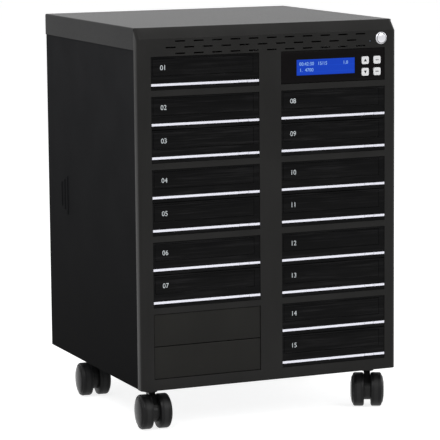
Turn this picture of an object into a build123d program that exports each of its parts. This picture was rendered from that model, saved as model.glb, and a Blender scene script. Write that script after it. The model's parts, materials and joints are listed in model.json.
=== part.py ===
from build123d import *

import os
from math import atan2, cos, degrees, pi, radians, tan

# Disc duplicator tower, in millimetres.
# Modelling frame: X to the right seen from the front, Y back from the bezel's face, Z up from the floor.
# The finished pieces are moved together, so that the origin is under the middle of the whole tower.

# ---------------------------------------------------------------- disc tray
DISC_RECESS_RADIUS = 60.8
DISC_RECESS_DEPTH = 2.0
DISC_RECESS_SIDES = 24              # flats that make the round recess
SMALL_DISC_RADIUS = 40.6
SMALL_DISC_DEPTH = 1.5
SMALL_DISC_SIDES = 16
SPINDLE_SLOT_WIDTH = 36.0
TRAY_SIDE_RIM = 3.2
TRAY_FRONT_RIM = 6.0
TRAY_REAR_RIM = 30.4
TRAY_THICKNESS = 8.0
TRAY_RISE = 3.6                     # tray underside above the door's lower edge
TRAY_GAP = 0.3                      # running clearance under and beside the tray

# ---------------------------------------------------------------- drive housing
RAIL_WIDTH = 3.0
RAIL_HEIGHT = 5.0
RAIL_SPACE = 4.5                    # from a rail to the housing's side
HOUSING_SHEET = 1.2
HOUSING_TAIL = 10.0                 # housing longer than its tray by this much
HOUSING_CLEARANCE = 0.3             # housing lower than the drive's front, above and below
DECK_SHEET = 2.0

# ---------------------------------------------------------------- drive front
DRIVE_HEIGHT = 41.4
DRIVE_OVERHANG = 1.0                # front wider than its housing, each side
DRIVE_RECESS = 1.0                  # drive fronts lie this far behind the bezel's face
DRIVE_FACE_WALL = 3.0
DRIVE_SKIRT = 2.0
DRIVE_BEZEL_DEPTH = 9.0
DOOR_HEIGHT = 21.0
DOOR_TOP = 2.5                      # from the top edge of the drive's front
DOOR_LEFT = 2.8                     # from the left edge of the drive's front
DOOR_RIGHT = 8.0
DOOR_WALL = 3.0
DOOR_GAP = 0.4
STRIP_HEIGHT = 3.0
STRIP_RISE = 4.7                    # lower edge above the drive's lower edge
STRIP_GROOVE = 1.2
STRIP_PROUD = 0.8
KEY_RIGHT = 15.4                    # eject key, from the right edge of the drive's front
KEY_WIDTH = 13.3
KEY_LENGTH = 6.0
KEY_GAP = 0.3
KEY_PROUD = 0.3                     # the key stands this far out of the strip

# ---------------------------------------------------------------- drive bays
ROWS = 9
BAY_SPACE = 0.9                     # between the fronts of two drives in one opening
GROUP_BAR = 8.0                     # bar between the groups of bays
COLUMN_GAP = 31.5
BAY_SIDE_GAP = 0.4
LEFT_DRIVE_ROWS = range(0, 7)
RIGHT_DRIVE_ROWS = range(1, 9)
BLANK_ROWS = range(7, 9)
CONTROL_ROW = 0

CAGE_SHEET = 1.0
CAGE_TAIL = 6.0                     # cage longer than a drive's housing by this much
CAGE_HEADROOM = 6.0
CAGE_FOOT = 9.0
CAGE_FOOT_SPACE = 10.0              # from a caster socket to the foot
CAGE_WINDOW_RIM = 42.0

# ---------------------------------------------------------------- cabinet
SIDE_MARGIN = 17.25                 # from the drive fronts to the cabinet's side
CABLE_SPACE = 16.0                  # from the drive cage to the power supply
BEZEL_DEPTH = 16.0
BEZEL_WALL = 3.0
BEZEL_CORNER = 7.0                  # round of the two upright front corners
BEZEL_COLLAR_WALL = 1.5
BEZEL_COLLAR_DEPTH = 9.0
TOP_SLOPE_HEIGHT = 13.1             # sloped strip above the face
TOP_SLOPE_DEPTH = 12.0
FACE_TOP_MARGIN = 22.8
FACE_BOTTOM_MARGIN = 14.4

PANEL_SHEET = 1.0
PANEL_INSET = 1.0                   # side panels lie this far inside the cover's lips
COVER_LIP = 28.0
COVER_BEND = 2.0                    # outer bend radius of the cover
COVER_OVERLAP = 23.0                # height of side panel that is tucked behind the lip
REAR_RECESS = 3.0
PAN_SHEET = 1.2
PAN_FLANGE = 10.0

# ---------------------------------------------------------------- control panel
FASCIA_WALL = 2.5
FASCIA_DEPTH = 14.0
FASCIA_RECESS = 0.8
FASCIA_ARM_LENGTH = 96.0
FASCIA_ARM_HEIGHT = 12.0
SCREEN_LEFT = 22.4                  # from the left edge of the panel
SCREEN_RISE = 9.9                   # from the lower edge of the panel
SCREEN_HEIGHT = 20.2
SCREEN_TO_KEYS = 9.8
SCREEN_RECESS = 0.7
SCREEN_GAP = 0.2
MODULE_RIM = 7.55                   # display frame beside the screen
MODULE_HEADROOM = 1.4               # display frame below the panel's upper wall
MODULE_DEPTH = 8.0
NAV_SIZE = 10.0
NAV_CORNER = 1.4
NAV_SPACE_X = 7.1
NAV_SPACE_Z = 5.1
NAV_RIGHT = 5.8                     # right keys to the right edge of the panel
NAV_BOTTOM = 5.9                    # lower keys to the lower edge of the panel
NAV_GAP = 0.3
NAV_PROUD = 0.9
NAV_LENGTH = 6.0
BOARD_LENGTH = 90.0
BOARD_THICKNESS = 1.6

# ---------------------------------------------------------------- face details
VENT_LENGTH = 13.5
VENT_HEIGHT = 1.8
VENT_COUNT = 11
VENT_ROWS = 3
VENT_LEFT = 57.0                    # first and last slot centres from the cabinet's sides
VENT_RIGHT = 52.0
VENT_STAGGER = 12.9
VENT_TOP = 4.1                      # top and bottom rows from the ends of the strip above the bays
VENT_BOTTOM = 3.2
BUTTON_RADIUS = 8.0
BUTTON_SIDES = 32
BUTTON_CROWN_RADIUS = 4.5           # flat middle of the domed front
BUTTON_LENGTH = 10.0
BUTTON_DOME = 1.6
BUTTON_PROUD = 1.2
BUTTON_GAP = 0.3
BUTTON_INSET = 22.5                 # centre from the cabinet's right side
BUTTON_DROP = 10.5                  # centre below the top of the face
LAMP_RADIUS = 1.5
LAMP_LEFT = 15.6                    # lamp from the button's centre
LAMP_BELOW = 3.5

# ---------------------------------------------------------------- side panels
GRIP_RIB_WIDTH = 4.0
GRIP_RIB_PROUD = 1.0
GRIP_RIB_BEVEL = 0.8
GRIP_RIB_PITCH = 11.3
GRIP_RIB_HEIGHTS = (53.0, 42.0, 34.0)
GRIP_RIB_FROM_REAR = 76.0           # foremost rib from the rear of the cabinet
GRIP_RIB_MIDDLE = 274.0             # middle of the ribs above the floor

# ---------------------------------------------------------------- rear
HOLE_SIDES = 12                     # flats that make a small round hole or pin
FAN_SIZE = 120.0
FAN_DEPTH = 25.0
FAN_RIM = 2.5                       # frame at its thinnest round the duct
FAN_SIDES = 32
FAN_DROP = 117.0                    # centre below the top of the cabinet
FAN_SCREW_INSET = 7.5
FAN_SCREW_RADIUS = 2.2
FAN_STRUT = 5.0
FAN_STRUT_DEPTH = 4.0
FAN_HUB_RADIUS = 20.0
FAN_HUB_SIDES = 24
FAN_HUB_SPACE = 2.5                 # between the hub and the struts
FAN_TIP_GAP = 1.5
FAN_BLADES = 7
FAN_BLADE_PITCH = 38.0              # angle of the blades, in degrees
FAN_BLADE_CHORD = 22.0
FAN_BLADE_WALL = 1.6
FAN_SHAFT_RADIUS = 2.5
FAN_SHAFT_GAP = 0.05
GRILLE_SLOT = 4.0
GRILLE_PITCH = 8.0
GRILLE_RIM = 2.5                    # grille smaller than the duct all round

PSU_WIDTH = 150.0
PSU_HEIGHT = 86.0
PSU_LENGTH = 140.0
PSU_SHEET = 2.5
PSU_LIFT = 0.8                      # supply above the caster sockets
PSU_WINDOW_MARGIN = 6.0             # rim of the rear panel that laps the supply
INLET_WIDTH = 27.5
INLET_HEIGHT = 20.0
INLET_DEPTH = 16.0
INLET_WALL = 2.0
INLET_INSET = 27.0                  # inlet centre from the supply's left side
INLET_DROP = 21.0                   # inlet centre below the supply's top
ROCKER_WIDTH = 12.0
ROCKER_HEIGHT = 20.0
ROCKER_DEPTH = 8.0
ROCKER_ROOT = 2.7                   # rocker behind its pin
ROCKER_END = 1.0                    # how far each end of the rocker slants in
ROCKER_DROP = 30.0                  # rocker centre below the inlet's
ROCKER_TILT = 8.0
ROCKER_GAP = 0.4
ROCKER_WALL = 2.0
ROCKER_PIN_RADIUS = 1.0
ROCKER_PIN_GAP = 0.05
SUPPLY_VENT_SLOTS = 7
SUPPLY_VENT_PITCH = 9.0
SUPPLY_VENT_LENGTH = 76.0
SUPPLY_VENT_HEIGHT = 4.0
SUPPLY_VENT_INSET = 15.0            # slots from the supply's right side

# ---------------------------------------------------------------- casters
WHEEL_RADIUS = 22.5
WHEEL_SIDES = 24                    # flats that make the round tread
WHEEL_WIDTH = 18.0
WHEEL_SPACE = 9.0                   # between the two wheels
WHEEL_TREAD = 11.0
WHEEL_SHOULDER = 4.0                # width of the shoulder beside the tread
WHEEL_SHOULDER_DROP = 4.0
WHEEL_CAP_RADIUS = 9.0
AXLE_RADIUS = 2.5
AXLE_GAP = 0.06
CASTER_TRAIL = 12.0
FORK_GAP = 0.3
FORK_ROUND = 14.0
ROD_SIDES = 16                      # flats that make the neck, collar, stem and axle round
NECK_RADIUS = 6.0
NECK_HEIGHT = 7.6
COLLAR_RADIUS = 9.0
COLLAR_HEIGHT = 4.0
COLLAR_CLEARANCE = 1.0              # collar above the wheels
STEM_RADIUS = 4.0
STEM_GAP = 0.06
STEM_LENGTH = 11.0
SOCKET_RADIUS = 6.3
SOCKET_HEIGHT = 12.0
SOCKET_SPACE = 0.45                 # from a socket to the side of the drive cage
CASTER_SEAT_GAP = 0.4
CASTER_FRONT_INSET = 20.0           # front stems behind the bezel
CASTER_REAR_INSET = 90.0            # rear stems from the rear of the cabinet
CASTER_ANGLES = {"front_left": -5.0, "front_right": -25.0, "rear_left": -5.0, "rear_right": 12.0}

# ---------------------------------------------------------------- derived sizes
TRAY_WIDTH = 2 * (DISC_RECESS_RADIUS + TRAY_SIDE_RIM)
TRAY_LENGTH = TRAY_FRONT_RIM + 2 * DISC_RECESS_RADIUS + TRAY_REAR_RIM
HOUSING_WIDTH = TRAY_WIDTH + 2 * (TRAY_GAP + RAIL_WIDTH + RAIL_SPACE + HOUSING_SHEET)
HOUSING_HEIGHT = DRIVE_HEIGHT - 2 * HOUSING_CLEARANCE
HOUSING_LENGTH = TRAY_LENGTH + HOUSING_TAIL
DRIVE_WIDTH = HOUSING_WIDTH + 2 * DRIVE_OVERHANG
DRIVE_FACE = DRIVE_RECESS
HOUSING_FRONT = DRIVE_FACE + DRIVE_BEZEL_DEPTH
DOOR_WIDTH = DRIVE_WIDTH - DOOR_LEFT - DOOR_RIGHT
DOOR_BASE = DRIVE_HEIGHT - DOOR_TOP - DOOR_HEIGHT
TRAY_BASE = DOOR_BASE + TRAY_RISE
DECK_TOP = TRAY_BASE - TRAY_GAP
KEY_CENTRE_X = DRIVE_WIDTH / 2 - KEY_RIGHT - KEY_WIDTH / 2
STRIP_MIDDLE = STRIP_RISE + STRIP_HEIGHT / 2

BAY_PITCH = DRIVE_HEIGHT + BAY_SPACE
BAYS_HEIGHT = ROWS * BAY_PITCH + (ROWS // 2) * GROUP_BAR
COLUMN_X = (COLUMN_GAP + DRIVE_WIDTH) / 2
HALF_WIDTH = COLUMN_X + DRIVE_WIDTH / 2 + SIDE_MARGIN
CASE_WIDTH = 2 * HALF_WIDTH
CAGE_DEPTH = HOUSING_LENGTH + CAGE_TAIL
CASE_DEPTH = BEZEL_DEPTH + CAGE_DEPTH + CABLE_SPACE + PSU_LENGTH + PANEL_SHEET + REAR_RECESS
COLLAR_BASE = 2 * WHEEL_RADIUS + COLLAR_CLEARANCE
CASTER_SEAT = COLLAR_BASE + NECK_HEIGHT
CASE_BASE = CASTER_SEAT + CASTER_SEAT_GAP
BAYS_TOP = CASE_BASE + FACE_BOTTOM_MARGIN + BAYS_HEIGHT
FACE_TOP = BAYS_TOP + FACE_TOP_MARGIN
CASE_TOP = FACE_TOP + TOP_SLOPE_HEIGHT
REAR_FACE = CASE_DEPTH - REAR_RECESS
REAR_INNER = REAR_FACE - PANEL_SHEET
PAN_TOP = CASE_BASE + PAN_SHEET

SCREEN_WIDTH = DRIVE_WIDTH - SCREEN_LEFT - SCREEN_TO_KEYS - 2 * NAV_SIZE - NAV_SPACE_X - NAV_RIGHT
VENT_PITCH = (CASE_WIDTH - VENT_LEFT - VENT_RIGHT) / (VENT_COUNT - 1)
VENT_ROW_PITCH = (FACE_TOP_MARGIN - VENT_TOP - VENT_BOTTOM) / (VENT_ROWS - 1)
BUTTON_X = HALF_WIDTH - BUTTON_INSET
BUTTON_Z = FACE_TOP - BUTTON_DROP

FAN_CENTRE_X = COLUMN_X
FAN_CENTRE_Z = CASE_TOP - FAN_DROP
FAN_BORE = FAN_SIZE / 2 - FAN_RIM
FAN_FRONT = REAR_INNER - FAN_DEPTH
FAN_HUB_DEPTH = FAN_DEPTH - FAN_STRUT_DEPTH - FAN_HUB_SPACE - FAN_TIP_GAP
GRILLE_RADIUS = FAN_BORE - GRILLE_RIM
PSU_CENTRE_X = -COLUMN_X
PSU_BASE = PAN_TOP + SOCKET_HEIGHT + PSU_LIFT
PSU_FRONT = REAR_INNER - PSU_LENGTH
PSU_MIDDLE_Z = PSU_BASE + PSU_HEIGHT / 2
INLET_X = PSU_CENTRE_X - PSU_WIDTH / 2 + INLET_INSET
INLET_Z = PSU_BASE + PSU_HEIGHT - INLET_DROP
ROCKER_Z = INLET_Z - ROCKER_DROP
ROCKER_AXIS_Y = REAR_INNER - ROCKER_DEPTH / 2

CASTER_X = COLUMN_X + HOUSING_WIDTH / 2 - SOCKET_SPACE - SOCKET_RADIUS
CASTER_FRONT_Y = BEZEL_DEPTH + CASTER_FRONT_INSET
CASTER_REAR_Y = CASE_DEPTH - CASTER_REAR_INSET
CASTER_PLACES = {
    "front_left": (-CASTER_X, CASTER_FRONT_Y),
    "front_right": (CASTER_X, CASTER_FRONT_Y),
    "rear_left": (-CASTER_X, CASTER_REAR_Y),
    "rear_right": (CASTER_X, CASTER_REAR_Y),
}


def block(x_span, y_span, z_span):
    """A box between two limits along each axis."""
    size = [high - low for low, high in (x_span, y_span, z_span)]
    middle = [(high + low) / 2 for low, high in (x_span, y_span, z_span)]
    return Pos(*middle) * Box(*size)


def around(centre, width):
    """The two limits of a width laid about its centre."""
    return (centre - width / 2, centre + width / 2)


def row_base(row):
    """Height of the underside of a bay; rows count down from the top."""
    group = (row + 1) // 2
    return BAYS_TOP - (row + 1) * BAY_PITCH - group * GROUP_BAR


def drive_base(row):
    """Height of the underside of what fills a bay."""
    return row_base(row) + (BAY_PITCH - DRIVE_HEIGHT) / 2


def drive_places():
    """Column centre and base height of every drive, down the left column and then the right."""
    left = [(-COLUMN_X, drive_base(row)) for row in LEFT_DRIVE_ROWS]
    right = [(COLUMN_X, drive_base(row)) for row in RIGHT_DRIVE_ROWS]
    return left + right


def bay_groups():
    """Centre, base height and height of every opening in the bezel."""
    groups = []
    for column in (-COLUMN_X, COLUMN_X):
        groups.append((column, row_base(0), BAY_PITCH))
        for first in range(1, ROWS, 2):
            groups.append((column, row_base(first + 1), 2 * BAY_PITCH))
    return groups


def y_cylinder(radius, x, y_span, z):
    """A cylinder that lies along Y."""
    low, high = y_span
    return Pos(x, (low + high) / 2, z) * Rot(X=90) * Cylinder(radius, high - low)


def y_prism(radius, sides, x, y_span, z):
    """A many-sided bar along Y, whose flats lie at the radius; the lighter form of a round hole."""
    low, high = y_span
    outline = RegularPolygon(radius, sides, major_radius=False)
    return Pos(x, high, z) * Rot(X=90) * extrude(outline, high - low)


def x_prism(radius, sides, reach):
    """A many-sided bar along X, as far to each side as the reach, whose corners lie at the radius."""
    return extrude(Plane.YZ * RegularPolygon(radius, sides), reach, both=True)


def upright_prism(radius, sides, low, high, end_radius=None):
    """A many-sided upright bar about the origin, whose corners lie at the radius; it may narrow upward."""
    flat_drop = 0 if end_radius is None else (radius - end_radius) * cos(pi / sides)
    taper = degrees(atan2(flat_drop, high - low))
    return Pos(0, 0, low) * extrude(RegularPolygon(radius, sides), high - low, taper=taper)


# ---------------------------------------------------------------- cabinet pieces
def sloped_slab(inset, corner):
    """The bezel's outer form, or the hollow inside it when an inset is given."""
    slope = inset * (TOP_SLOPE_DEPTH / TOP_SLOPE_HEIGHT)
    base = CASE_BASE + inset
    outline = Polyline(
        (inset, base),
        (inset, FACE_TOP - inset / 2),
        (TOP_SLOPE_DEPTH + slope / 2, CASE_TOP - inset),
        (BEZEL_DEPTH, CASE_TOP - inset),
        (BEZEL_DEPTH, base),
        close=True,
    )
    slab = extrude(Plane.YZ * make_face(outline), HALF_WIDTH - inset, both=True)
    front = slab.edges().filter_by(Axis.Z).group_by(Axis.Y)[0]
    slab_edges = front + slab.edges().filter_by(
        lambda edge: abs(edge.tangent_at(0.5).X) < 0.01 and 0.05 < abs(edge.tangent_at(0.5).Z) < 0.95
    )
    return fillet(slab_edges, corner)


def front_bezel():
    """Moulded front: hollow slab with collared bays, a slotted head and two holes."""
    bezel = sloped_slab(0, BEZEL_CORNER)
    bezel -= sloped_slab(BEZEL_WALL, BEZEL_CORNER - BEZEL_WALL)
    opening_width = DRIVE_WIDTH + 2 * BAY_SIDE_GAP
    collars = [
        block(
            around(x, opening_width + 2 * BEZEL_COLLAR_WALL),
            (BEZEL_WALL, BEZEL_COLLAR_DEPTH),
            (base - BEZEL_COLLAR_WALL, base + height + BEZEL_COLLAR_WALL),
        )
        for x, base, height in bay_groups()
    ]
    bezel += collars
    cuts = [
        block(around(x, opening_width), (-1, BEZEL_DEPTH), (base, base + height))
        for x, base, height in bay_groups()
    ]
    cuts += vent_slots()
    cuts.append(y_cylinder(BUTTON_RADIUS + BUTTON_GAP, BUTTON_X, (-1, BEZEL_DEPTH), BUTTON_Z))
    cuts.append(y_cylinder(LAMP_RADIUS, BUTTON_X - LAMP_LEFT, (-1, BEZEL_DEPTH), BUTTON_Z - LAMP_BELOW))
    return bezel - cuts


def vent_slots():
    """Staggered rows of slots across the head of the bezel."""
    slots = []
    for row in range(VENT_ROWS):
        z = FACE_TOP - VENT_TOP - row * VENT_ROW_PITCH
        first = VENT_LEFT - HALF_WIDTH - (VENT_STAGGER if row % 2 else 0)
        for index in range(VENT_COUNT):
            x = first + index * VENT_PITCH
            slots.append(block(around(x, VENT_LENGTH), (-1, BEZEL_WALL + 1), around(z, VENT_HEIGHT)))
    return slots


def top_cover():
    """Folded sheet: the top and two side lips."""
    outer = block((-HALF_WIDTH, HALF_WIDTH), (BEZEL_DEPTH, CASE_DEPTH), (CASE_TOP - COVER_LIP, CASE_TOP))
    long_edges = outer.edges().filter_by(Axis.Y).group_by(Axis.Z)[-1]
    outer = fillet(long_edges, COVER_BEND)
    inner_half = HALF_WIDTH - PANEL_SHEET
    inner = block(
        (-inner_half, inner_half),
        (BEZEL_DEPTH - 1, CASE_DEPTH + 1),
        (CASE_TOP - COVER_LIP - 1, CASE_TOP - PANEL_SHEET),
    )
    inner_edges = inner.edges().filter_by(Axis.Y).group_by(Axis.Z)[-1]
    return outer - fillet(inner_edges, COVER_BEND - PANEL_SHEET)


def side_panel(side):
    """Flat side with three raised grip ribs near the rear; side is -1 on the left and 1 on the right."""
    outer = HALF_WIDTH - PANEL_INSET
    inner = outer - PANEL_SHEET
    top = CASE_TOP - COVER_LIP + COVER_OVERLAP
    panel = block((inner, outer), (BEZEL_DEPTH, CASE_DEPTH), (CASE_BASE, top))
    for index, height in enumerate(GRIP_RIB_HEIGHTS):
        y = CASE_DEPTH - GRIP_RIB_FROM_REAR + index * GRIP_RIB_PITCH
        rib = block(
            (outer, outer + GRIP_RIB_PROUD),
            around(y, GRIP_RIB_WIDTH),
            around(GRIP_RIB_MIDDLE, height),
        )
        ridge = rib.faces().sort_by(Axis.X)[-1].edges()
        panel += chamfer(ridge, GRIP_RIB_BEVEL)
    return panel if side > 0 else mirror(panel, Plane.YZ)


def rear_panel():
    """Rear sheet with the fan grille and the opening for the power supply."""
    half = HALF_WIDTH - PANEL_INSET - PANEL_SHEET
    panel = block((-half, half), (REAR_INNER, REAR_FACE), (CASE_BASE, CASE_TOP - PANEL_SHEET))
    through = (REAR_INNER - 1, REAR_FACE + 1)
    cuts = []
    slot_count = int(GRILLE_RADIUS // GRILLE_PITCH)
    for index in range(-slot_count, slot_count + 1):
        drop = index * GRILLE_PITCH
        chord = 2 * (GRILLE_RADIUS**2 - drop**2) ** 0.5
        cuts.append(block(around(FAN_CENTRE_X, chord), through, around(FAN_CENTRE_Z + drop, GRILLE_SLOT)))
    for x, z in fan_screws():
        cuts.append(y_prism(FAN_SCREW_RADIUS, HOLE_SIDES, x, through, z))
    cuts.append(
        block(
            around(PSU_CENTRE_X, PSU_WIDTH - 2 * PSU_WINDOW_MARGIN),
            through,
            around(PSU_MIDDLE_Z, PSU_HEIGHT - 2 * PSU_WINDOW_MARGIN),
        )
    )
    return panel - cuts


def base_pan():
    """Floor sheet with upturned edges and four sockets for the caster stems."""
    half = HALF_WIDTH - PANEL_INSET - PANEL_SHEET
    pan = block((-half, half), (BEZEL_DEPTH, REAR_INNER), (CASE_BASE, PAN_TOP + PAN_FLANGE))
    pan -= block(
        (-half + PAN_SHEET, half - PAN_SHEET),
        (BEZEL_DEPTH - 1, REAR_INNER + 1),
        (PAN_TOP, PAN_TOP + PAN_FLANGE + 1),
    )
    bore = RegularPolygon(STEM_RADIUS + STEM_GAP, ROD_SIDES, major_radius=False)
    for x, y in CASTER_PLACES.values():
        pan += Pos(x, y, 0) * upright_prism(SOCKET_RADIUS, ROD_SIDES, PAN_TOP, PAN_TOP + SOCKET_HEIGHT)
        pan -= Pos(x, y, CASE_BASE - 1) * extrude(bore, PAN_SHEET + SOCKET_HEIGHT + 2)
    return pan


def cage_column(x):
    """Folded sheet over one column of drives: two upright sides, a top and two feet."""
    half = HOUSING_WIDTH / 2
    foot_start = CASTER_FRONT_Y + SOCKET_RADIUS + CAGE_FOOT_SPACE
    front = BEZEL_DEPTH
    back = front + CAGE_DEPTH
    top = BAYS_TOP + CAGE_HEADROOM
    cage = block(around(x, HOUSING_WIDTH + 2 * CAGE_SHEET), (front, back), (PAN_TOP, top))
    cage -= block(around(x, HOUSING_WIDTH), (front - 1, back + 1), (PAN_TOP - 1, top - CAGE_SHEET))
    for side in (-1, 1):
        foot = sorted((x + side * half, x + side * (half - CAGE_FOOT)))
        cage += block(foot, (foot_start, back), (PAN_TOP, PAN_TOP + CAGE_SHEET))
    windows = []
    for first in range(1, ROWS, 2):
        low = row_base(first + 1)
        middle = low + BAY_PITCH
        windows.append(
            block(
                around(x, HOUSING_WIDTH + 4 * CAGE_SHEET),
                (front + CAGE_WINDOW_RIM, back - CAGE_WINDOW_RIM),
                around(middle, BAY_PITCH),
            )
        )
    return cage - windows


# ---------------------------------------------------------------- optical drive
def drive_housing():
    """Sheet box with the deck that carries the tray between two rails; open at the front."""
    half = HOUSING_WIDTH / 2
    back = HOUSING_FRONT + HOUSING_LENGTH
    low = (DRIVE_HEIGHT - HOUSING_HEIGHT) / 2
    high = low + HOUSING_HEIGHT
    box = block((-half, half), (HOUSING_FRONT, back), (low, high))
    inner_x = (-half + HOUSING_SHEET, half - HOUSING_SHEET)
    inner_y = (HOUSING_FRONT - 1, back - HOUSING_SHEET)
    box -= block(inner_x, inner_y, (low + HOUSING_SHEET, DECK_TOP - DECK_SHEET))
    box -= block(inner_x, inner_y, (DECK_TOP, high - HOUSING_SHEET))
    for side in (-1, 1):
        rail = side * (TRAY_WIDTH / 2 + TRAY_GAP + RAIL_WIDTH / 2)
        rail_z = (DECK_TOP, DECK_TOP + RAIL_HEIGHT)
        box += block(around(rail, RAIL_WIDTH), (HOUSING_FRONT, inner_y[1]), rail_z)
    return box


def door_span(gap):
    """Limits of the tray's door, or of its opening when a gap is given."""
    left = DOOR_LEFT - DRIVE_WIDTH / 2
    return (left - gap, left + DOOR_WIDTH + gap), (DOOR_BASE - gap, DOOR_BASE + DOOR_HEIGHT + gap)


def drive_bezel():
    """Moulded front of a drive, with the door opening, the strip's groove and the key's hole."""
    front = DRIVE_FACE
    outer_x = around(0, DRIVE_WIDTH)
    bezel = block(outer_x, (front, HOUSING_FRONT), (0, DRIVE_HEIGHT))
    bezel -= block(
        around(0, DRIVE_WIDTH - 2 * DRIVE_SKIRT),
        (front + DRIVE_FACE_WALL, HOUSING_FRONT + 1),
        (DRIVE_SKIRT, DRIVE_HEIGHT - DRIVE_SKIRT),
    )
    door_x, door_z = door_span(DOOR_GAP)
    bezel -= block(door_x, (front - 1, HOUSING_FRONT + 1), door_z)
    groove_z = around(STRIP_MIDDLE, STRIP_HEIGHT)
    bezel -= block(around(0, DRIVE_WIDTH + 2), (front - 1, front + STRIP_GROOVE), groove_z)
    key_z = around(STRIP_MIDDLE, STRIP_HEIGHT + 2 * KEY_GAP)
    bezel -= block(around(KEY_CENTRE_X, KEY_WIDTH + 2 * KEY_GAP), (front - 1, HOUSING_FRONT), key_z)
    return bezel


def drive_strip():
    """Bright strip along the foot of a drive's front, in two lengths beside the key."""
    y_span = (DRIVE_FACE - STRIP_PROUD, DRIVE_FACE + STRIP_GROOVE)
    z_span = around(STRIP_MIDDLE, STRIP_HEIGHT)
    key_left, key_right = around(KEY_CENTRE_X, KEY_WIDTH + 2 * KEY_GAP)
    half = DRIVE_WIDTH / 2
    return [block((-half, key_left), y_span, z_span), block((key_right, half), y_span, z_span)]


def eject_key():
    """Bar-shaped key that closes the gap in the strip."""
    front = DRIVE_FACE - STRIP_PROUD - KEY_PROUD
    y_span = (front, front + KEY_LENGTH)
    key = block(around(KEY_CENTRE_X, KEY_WIDTH), y_span, around(STRIP_MIDDLE, STRIP_HEIGHT))
    return chamfer(key.faces().sort_by(Axis.Y)[0].edges(), KEY_PROUD)


def disc_tray():
    """Tray with its door: stepped recess for both disc sizes and a slot over the spindle."""
    door_x, door_z = door_span(0)
    door_back = DRIVE_FACE + DOOR_WALL
    tray = block(door_x, (DRIVE_FACE, door_back), door_z)
    deck = TRAY_BASE + TRAY_THICKNESS
    tray += block(around(0, TRAY_WIDTH), (door_back, door_back + TRAY_LENGTH), (TRAY_BASE, deck))
    centre_y = door_back + TRAY_FRONT_RIM + DISC_RECESS_RADIUS
    seat = Pos(0, centre_y, deck - DISC_RECESS_DEPTH)
    tray -= seat * extrude(RegularPolygon(DISC_RECESS_RADIUS, DISC_RECESS_SIDES), DISC_RECESS_DEPTH + 1)
    small_seat = Pos(0, centre_y, deck - DISC_RECESS_DEPTH - SMALL_DISC_DEPTH)
    tray -= small_seat * extrude(RegularPolygon(SMALL_DISC_RADIUS, SMALL_DISC_SIDES), SMALL_DISC_DEPTH + 1)
    slot_y = (centre_y - SPINDLE_SLOT_WIDTH / 2, centre_y + SMALL_DISC_RADIUS)
    tray -= block(around(0, SPINDLE_SLOT_WIDTH), slot_y, (TRAY_BASE - 1, deck + 1))
    return tray


# ---------------------------------------------------------------- control panel
def fascia_base():
    """Left edge, front plane and lower edge of the control panel."""
    return COLUMN_X - DRIVE_WIDTH / 2, FASCIA_RECESS, drive_base(CONTROL_ROW)


def nav_places():
    """Centres of the four keys: up, enter, down, escape."""
    left, _, base = fascia_base()
    right_x = left + DRIVE_WIDTH - NAV_RIGHT - NAV_SIZE / 2
    left_x = right_x - NAV_SIZE - NAV_SPACE_X
    low = base + NAV_BOTTOM + NAV_SIZE / 2
    high = low + NAV_SIZE + NAV_SPACE_Z
    return {
        "up_key": (left_x, high),
        "enter_key": (right_x, high),
        "down_key": (left_x, low),
        "escape_key": (right_x, low),
    }


def bevelled_bar(size, corner, x, y_span, z):
    """A square bar along Y with bevelled long edges."""
    bar = block(around(x, size), y_span, around(z, size))
    return chamfer(bar.edges().filter_by(Axis.Y), corner)


def control_fascia():
    """Panel of the top right bay: window, four key holes and two arms for the board."""
    left, front, base = fascia_base()
    back = front + FASCIA_DEPTH
    x_span = (left, left + DRIVE_WIDTH)
    fascia = block(x_span, (front, back), (base, base + DRIVE_HEIGHT))
    fascia -= block(
        (left + FASCIA_WALL, left + DRIVE_WIDTH - FASCIA_WALL),
        (front + FASCIA_WALL, back + 1),
        (base + FASCIA_WALL, base + DRIVE_HEIGHT - FASCIA_WALL),
    )
    middle = left + DRIVE_WIDTH / 2
    for side in (-1, 1):
        arm = middle + side * (HOUSING_WIDTH / 2 - FASCIA_WALL / 2)
        fascia += block(
            around(arm, FASCIA_WALL),
            (front + FASCIA_WALL, front + FASCIA_ARM_LENGTH),
            (base + FASCIA_WALL, base + FASCIA_WALL + FASCIA_ARM_HEIGHT),
        )
    screen_x = (left + SCREEN_LEFT - SCREEN_GAP, left + SCREEN_LEFT + SCREEN_WIDTH + SCREEN_GAP)
    screen_z = (base + SCREEN_RISE - SCREEN_GAP, base + SCREEN_RISE + SCREEN_HEIGHT + SCREEN_GAP)
    through = (front - 1, front + FASCIA_WALL + 1)
    cuts = [block(screen_x, through, screen_z)]
    for x, z in nav_places().values():
        cuts.append(bevelled_bar(NAV_SIZE + 2 * NAV_GAP, NAV_CORNER, x, through, z))
    return fascia - cuts


def display_module():
    """Display: a frame behind the panel with the screen standing into the window."""
    left, front, base = fascia_base()
    middle = left + SCREEN_LEFT + SCREEN_WIDTH / 2
    wall_back = front + FASCIA_WALL
    module = block(
        around(middle, SCREEN_WIDTH + 2 * MODULE_RIM),
        (wall_back, wall_back + MODULE_DEPTH),
        (base + FASCIA_WALL, base + DRIVE_HEIGHT - FASCIA_WALL - MODULE_HEADROOM),
    )
    screen = block(
        around(middle, SCREEN_WIDTH),
        (front + SCREEN_RECESS, wall_back),
        (base + SCREEN_RISE, base + SCREEN_RISE + SCREEN_HEIGHT),
    )
    return module + screen


def controller_board():
    """Board between the panel's two arms, carried on their lower walls."""
    left, front, base = fascia_base()
    middle = left + DRIVE_WIDTH / 2
    board_front = front + FASCIA_DEPTH
    low = base + FASCIA_WALL + FASCIA_ARM_HEIGHT
    return block(
        around(middle, HOUSING_WIDTH - FASCIA_WALL),
        (board_front, board_front + BOARD_LENGTH),
        (low, low + BOARD_THICKNESS),
    )


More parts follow.
